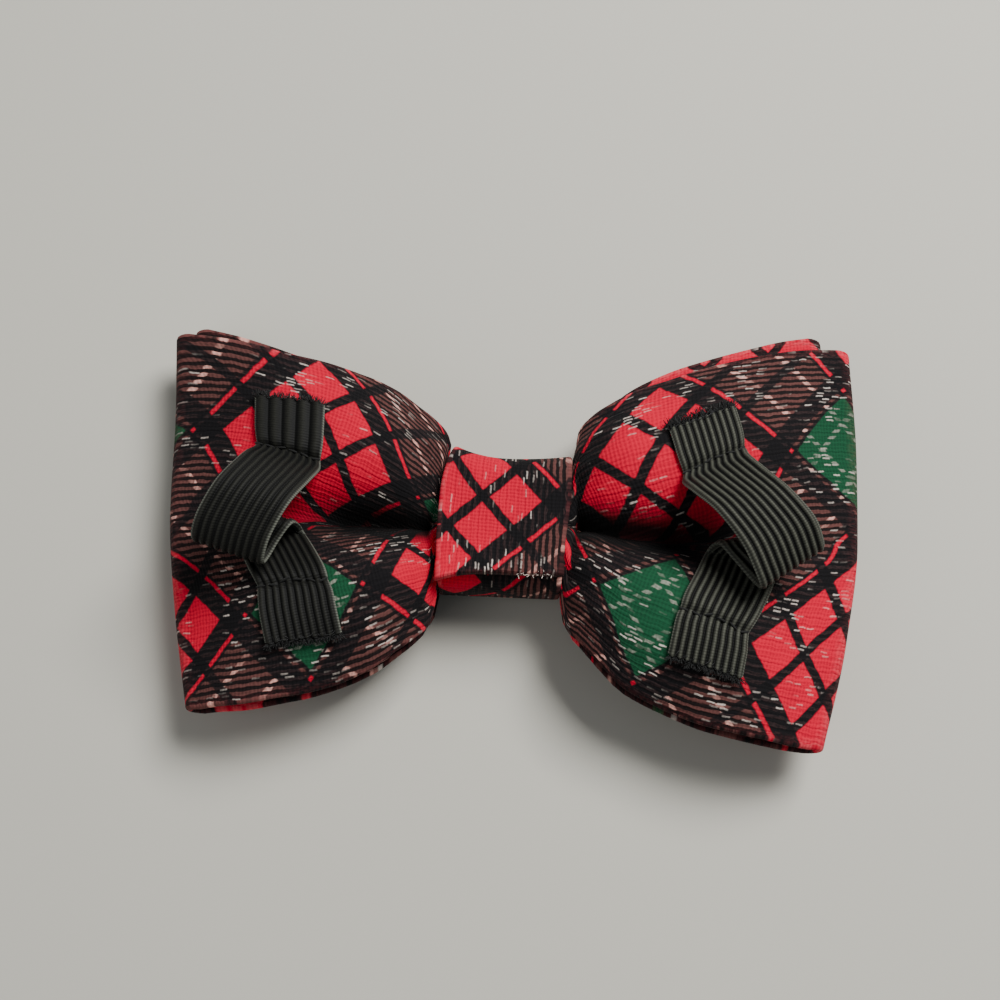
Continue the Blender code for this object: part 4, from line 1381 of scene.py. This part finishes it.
def rib_tree(finish):
    """A tree that presses the grooves between ribs into a plain band."""
    tree, start, end, ids = geometry_tree("ribs", RIB)
    read = {
        name: add_node(tree, "GeometryNodeInputNamedAttribute", {"Name": name}, data_type="FLOAT").outputs[0]
        for name in ("rib", "ridge")
    }
    within = calc(tree, "MULTIPLY_ADD", calc(tree, "FRACT", read["rib"]), 2.0, -1.0)
    groove = calc(tree, "POWER", calc(tree, "ABSOLUTE", within), start["Roundness"])
    depth = calc(tree, "MULTIPLY", calc(tree, "MULTIPLY", groove, start["Groove Depth"]), read["ridge"])
    inward = add_node(tree, "ShaderNodeVectorMath", operation="SCALE")
    tree.links.new(add_node(tree, "GeometryNodeInputNormal").outputs[0], inward.inputs[0])
    tree.links.new(calc(tree, "MULTIPLY", depth, -1.0), inward.inputs["Scale"])
    moved = add_node(tree, "GeometryNodeSetPosition", {"Geometry": start[0], "Offset": inward.outputs[0]})
    close_tree(tree, moved.outputs[0], finish, end)
    return tree, ids


elastic_pieces = {}
for side, (piece, mid, way, stitch_way) in bands.items():
    tree, ids = rib_tree(elastic_finish(side))
    elastic_pieces[side] = grown(f"elastic_loop_{side}_ribbed", piece, tree, ids, RIB)
    print(elastic_pieces[side].name, len(elastic_pieces[side].data.polygons), "faces")

# %% [markdown]
# ## Stitches
# Black thread holds each end of the elastic with one row of short stitches across the band. A tree walks a
# guide line at the stitch pitch and puts one stitch at each step, turned to the line. Each stitch is a long
# bead with only a few dozen faces, because the shape repeats.

# %% Stitches from a node tree
STITCH = {"Pitch": 1.7 * MM, "Length": 1.35 * MM, "Thread": 0.17 * MM}


def stitch_tree(finish):
    """A tree that sews along a line."""
    tree, start, end, ids = geometry_tree("stitches", STITCH)
    line = add_node(tree, "GeometryNodeMeshToCurve", (start[0],)).outputs[0]
    walk = {"Curve": line, "Length": start["Pitch"]}
    steps = add_node(tree, "GeometryNodeCurveToPoints", walk, mode="LENGTH").outputs
    bead = add_node(tree, "GeometryNodeMeshUVSphere", {"Segments": 8, "Rings": 6, "Radius": 1.0}).outputs[0]
    half = calc(tree, "MULTIPLY", start["Length"], 0.5)
    stretch = vector_of(tree, start["Thread"], start["Thread"], half)
    bead = add_node(tree, "GeometryNodeTransform", {"Geometry": bead, "Scale": stretch}).outputs[0]
    sewing = {"Points": steps["Points"], "Instance": bead, "Rotation": steps["Rotation"]}
    sewn = add_node(tree, "GeometryNodeInstanceOnPoints", sewing)
    close_tree(tree, sewn.outputs[0], finish, end)
    return tree, ids


STITCH_TREE, STITCH_IDS = stitch_tree(BLACK_THREAD)


SEAM_WANDER = {"upper": 0.16, "lower": 0.34}
SEAM_INSET = 4
SEAM_LIFT = 0.34


def band_row(mid, way, at, wander):
    """A crooked line across a band near a distance along it, lifted off its middle."""
    columns = np.arange(SEAM_INSET, mid.shape[1] - SEAM_INSET, SEAM_INSET)
    share = columns / mid.shape[1]
    ways = at + wander * (np.sin(9.0 * share) + 0.5 * np.sin(23.0 * share + 1.0))
    line = np.array([[np.interp(w, way, mid[:, c, k]) for k in range(3)] for c, w in zip(columns, ways)])
    line[:, 2] += SEAM_LIFT
    return line


stitch_rows = {}
for side, (_, mid, way, stitch_way) in bands.items():
    for place, at in zip(("upper", "lower"), stitch_way):
        line = guide_line(f"row_{side}_{place}", band_row(mid, way, at, SEAM_WANDER[place]))
        name = f"stitches_{side}_{place}"
        stitch_rows[name] = grown(name, line, STITCH_TREE, STITCH_IDS, STITCH)
        print(name, len(stitch_rows[name].data.polygons), "faces")

# %% [markdown]
# ## Frayed ends
# The elastic is cut across, so its wrapping threads fray at both ends, and a few pale fibres stand out of
# the knot's folded edge. A tree scatters hairs along a line. Each one is a thin bent tube that leans out
# from the cut and is turned and sized at random from a fixed seed.

# %% Fray from a node tree
FRAY = {"Hairs": 520.0, "Length": 1.25 * MM, "Hair": 0.055 * MM, "Spread": 1.1, "Seed": 3.0}
CLUMP = {"Hairs": 900.0, "Length": 1.7 * MM}
FOLD_FRAY = {**FRAY, "Hairs": 26.0, "Length": 0.9 * MM}
SHORTEST_HAIR = 0.35


def fray_tree(finish):
    """A tree that grows hairs along a line, out the way that the line's points say."""
    tree, start, end, ids = geometry_tree("fray", FRAY)
    line = add_node(tree, "GeometryNodeMeshToCurve", (start[0],)).outputs[0]
    count = add_node(tree, "FunctionNodeFloatToInt", (start["Hairs"],)).outputs[0]
    seed = add_node(tree, "FunctionNodeFloatToInt", (start["Seed"],)).outputs[0]
    walk = {"Curve": line, "Count": count}
    roots = add_node(tree, "GeometryNodeCurveToPoints", walk, mode="COUNT").outputs[0]
    hair = add_node(
        tree, "GeometryNodeCurveQuadraticBezier",
        {"Resolution": 5, "Start": (0, 0, 0), "Middle": (0.0, 0.05, 0.6), "End": (0.0, 0.35, 1.0)},
    ).outputs[0]
    radius = calc(tree, "DIVIDE", start["Hair"], start["Length"])
    ring = add_node(tree, "GeometryNodeCurvePrimitiveCircle", {"Resolution": 3, "Radius": radius}).outputs[0]
    tube = {"Curve": hair, "Profile Curve": ring, "Fill Caps": True}
    hair = add_node(tree, "GeometryNodeCurveToMesh", tube).outputs[0]
    layer = {"Name": "out"}
    out_way = add_node(tree, "GeometryNodeInputNamedAttribute", layer, data_type="FLOAT_VECTOR").outputs[0]
    away = calc(tree, "MULTIPLY", start["Spread"], -1.0)
    low = vector_of(tree, away, away, away)
    high = vector_of(tree, start["Spread"], start["Spread"], start["Spread"])
    limits = {"Min": low, "Max": high, "Seed": seed}
    jitter = add_node(tree, "FunctionNodeRandomValue", limits, data_type="FLOAT_VECTOR").outputs[0]
    lean = vector_calc(tree, "ADD", out_way, jitter)
    facing = add_node(tree, "FunctionNodeAlignRotationToVector", {"Vector": lean}, axis="Z").outputs[0]
    limits = {2: SHORTEST_HAIR, 3: 1.0, "Seed": seed}
    size = add_node(tree, "FunctionNodeRandomValue", limits, data_type="FLOAT").outputs[1]
    size = calc(tree, "MULTIPLY", size, start["Length"])
    planting = {"Points": roots, "Instance": hair, "Rotation": facing, "Scale": size}
    grown_hairs = add_node(tree, "GeometryNodeInstanceOnPoints", planting)
    close_tree(tree, grown_hairs.outputs[0], finish, end)
    return tree, ids


def end_line(mid, row, inner):
    """The line across a band's cut end, with the way out of it."""
    out = unit(mid[row] - mid[inner])
    return mid[row] - 0.15 * out, out


frays = {}
BLACK_FRAY, BLACK_FRAY_IDS = fray_tree(BLACK_THREAD)
for side, (_, mid, way, _) in bands.items():
    for place, row, inner in (("upper", 0, 4), ("lower", -1, -5)):
        points, out = end_line(mid, row, inner)
        line = guide_line(f"cut_{side}_{place}", points[2:-2], {"out": out[2:-2]})
        name = f"fray_{side}_{place}"
        sizes = {**FRAY, **CLUMP} if name == "fray_right_upper" else FRAY
        frays[name] = grown(name, line, BLACK_FRAY, BLACK_FRAY_IDS, sizes)
        print(name, len(frays[name].data.polygons), "faces")

PALE_FRAY, PALE_FRAY_IDS = fray_tree(PALE_THREAD)
fold_row = wrap_mid[-1, 38:58].copy()
fold_row[:, 2] += 0.2
fold_line = guide_line("fold_fray_line", fold_row, {"out": np.tile([0.0, -0.8, 0.6], (len(fold_row), 1))})
knot_fray = grown("knot_fold_fray", fold_line, PALE_FRAY, PALE_FRAY_IDS, FOLD_FRAY)
print(knot_fray.name, len(knot_fray.data.polygons), "faces")

# %% [markdown]
# ## Putting each piece on the frame
# Every piece rides on the one body. The cloth and the elastic stand for the solids that they replace, which
# are hidden.

# %% Ride and replace
ROOT = "root"
cloths = {
    "back_bow": (back_cloth, (0.193, 0.055), "gathered", ["front_bow_cloth"]),
    "front_bow": (front_cloth, (0.180, 0.055), "gathered", []),
    "knot_wrap": (knot_cloth, (0.070, 0.0164), "folded", ["back_bow_cloth"]),
}
for node, (piece, flat, held, rests_on) in cloths.items():
    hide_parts(node)
    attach(piece, ROOT)
for side, piece in elastic_pieces.items():
    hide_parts(f"elastic_loop_{side}")
    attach(piece, ROOT)
for piece in list(stitch_rows.values()) + list(frays.values()):
    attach(piece, ROOT)
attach(knot_fray, ROOT)
for side, piece in elastic_pieces.items():
    flat = (0.010, bands[side][2][-1] * MM)
print("pieces on the frame:", len(cloths) + len(elastic_pieces) + len(stitch_rows) + len(frays) + 1)

# %% [markdown]
# ## Floor, light and camera
# The bow lies on a plain pale floor. One large soft light hangs up and to the right, as a window would, and
# a weak pale sky fills the shadows. The lens is set from the same values that laid the tartan.

# %% Stage
floor_mesh = bpy.data.meshes.new("floor")
floor_mesh.from_pydata([(-2, -2, 0), (2, -2, 0), (2, 2, 0), (-2, 2, 0)], [], [(0, 1, 2, 3)])
floor = bpy.data.objects.new("floor", floor_mesh)
bpy.context.scene.collection.objects.link(floor)
floor_finish, _, floor_shader = plain_material("pale_floor", 0.9, 0.0)
floor_shader.inputs["Base Color"].default_value = linear(190, 187, 176)
floor_mesh.materials.append(floor_finish)

world = bpy.data.worlds.new("soft_sky")
world.use_nodes = True
world.node_tree.nodes["Background"].inputs["Color"].default_value = linear(226, 232, 240)
world.node_tree.nodes["Background"].inputs["Strength"].default_value = 0.22
bpy.context.scene.world = world


def area_light(name, place, aim, size, power):
    """A soft square light at a place, in metres, that looks at an aim."""
    light = bpy.data.lights.new(name, "AREA")
    light.size = size
    light.energy = power
    lamp = bpy.data.objects.new(name, light)
    lamp.location = place
    way = np.array(aim) - np.array(place)
    tilt = math.acos(-way[2] / np.linalg.norm(way))
    lamp.rotation_euler = (tilt, 0, math.atan2(way[1], way[0]) - math.pi / 2)
    bpy.context.scene.collection.objects.link(lamp)
    return lamp


area_light("window", (0.23, 0.24, 0.46), (0, 0, 0), 0.28, 5.6)
area_light("fill", (-0.45, -0.30, 0.40), (0, 0, 0), 0.50, 1.0)

SENSOR = 36.0
camera_data = bpy.data.cameras.new("camera")
camera_data.sensor_width = SENSOR
camera_data.lens = SENSOR * PICTURE_FOCUS / PICTURE_WIDTH
camera_data.clip_start = 0.01
camera = bpy.data.objects.new("camera", camera_data)
camera.location = (CAMERA_STAND + MOVED) * MM
camera.rotation_euler = (math.pi / 2 - CAMERA_TILT, 0.0, CAMERA_TURN)
bpy.context.scene.collection.objects.link(camera)
bpy.context.scene.camera = camera
print("lens", round(camera_data.lens, 1), "mm")
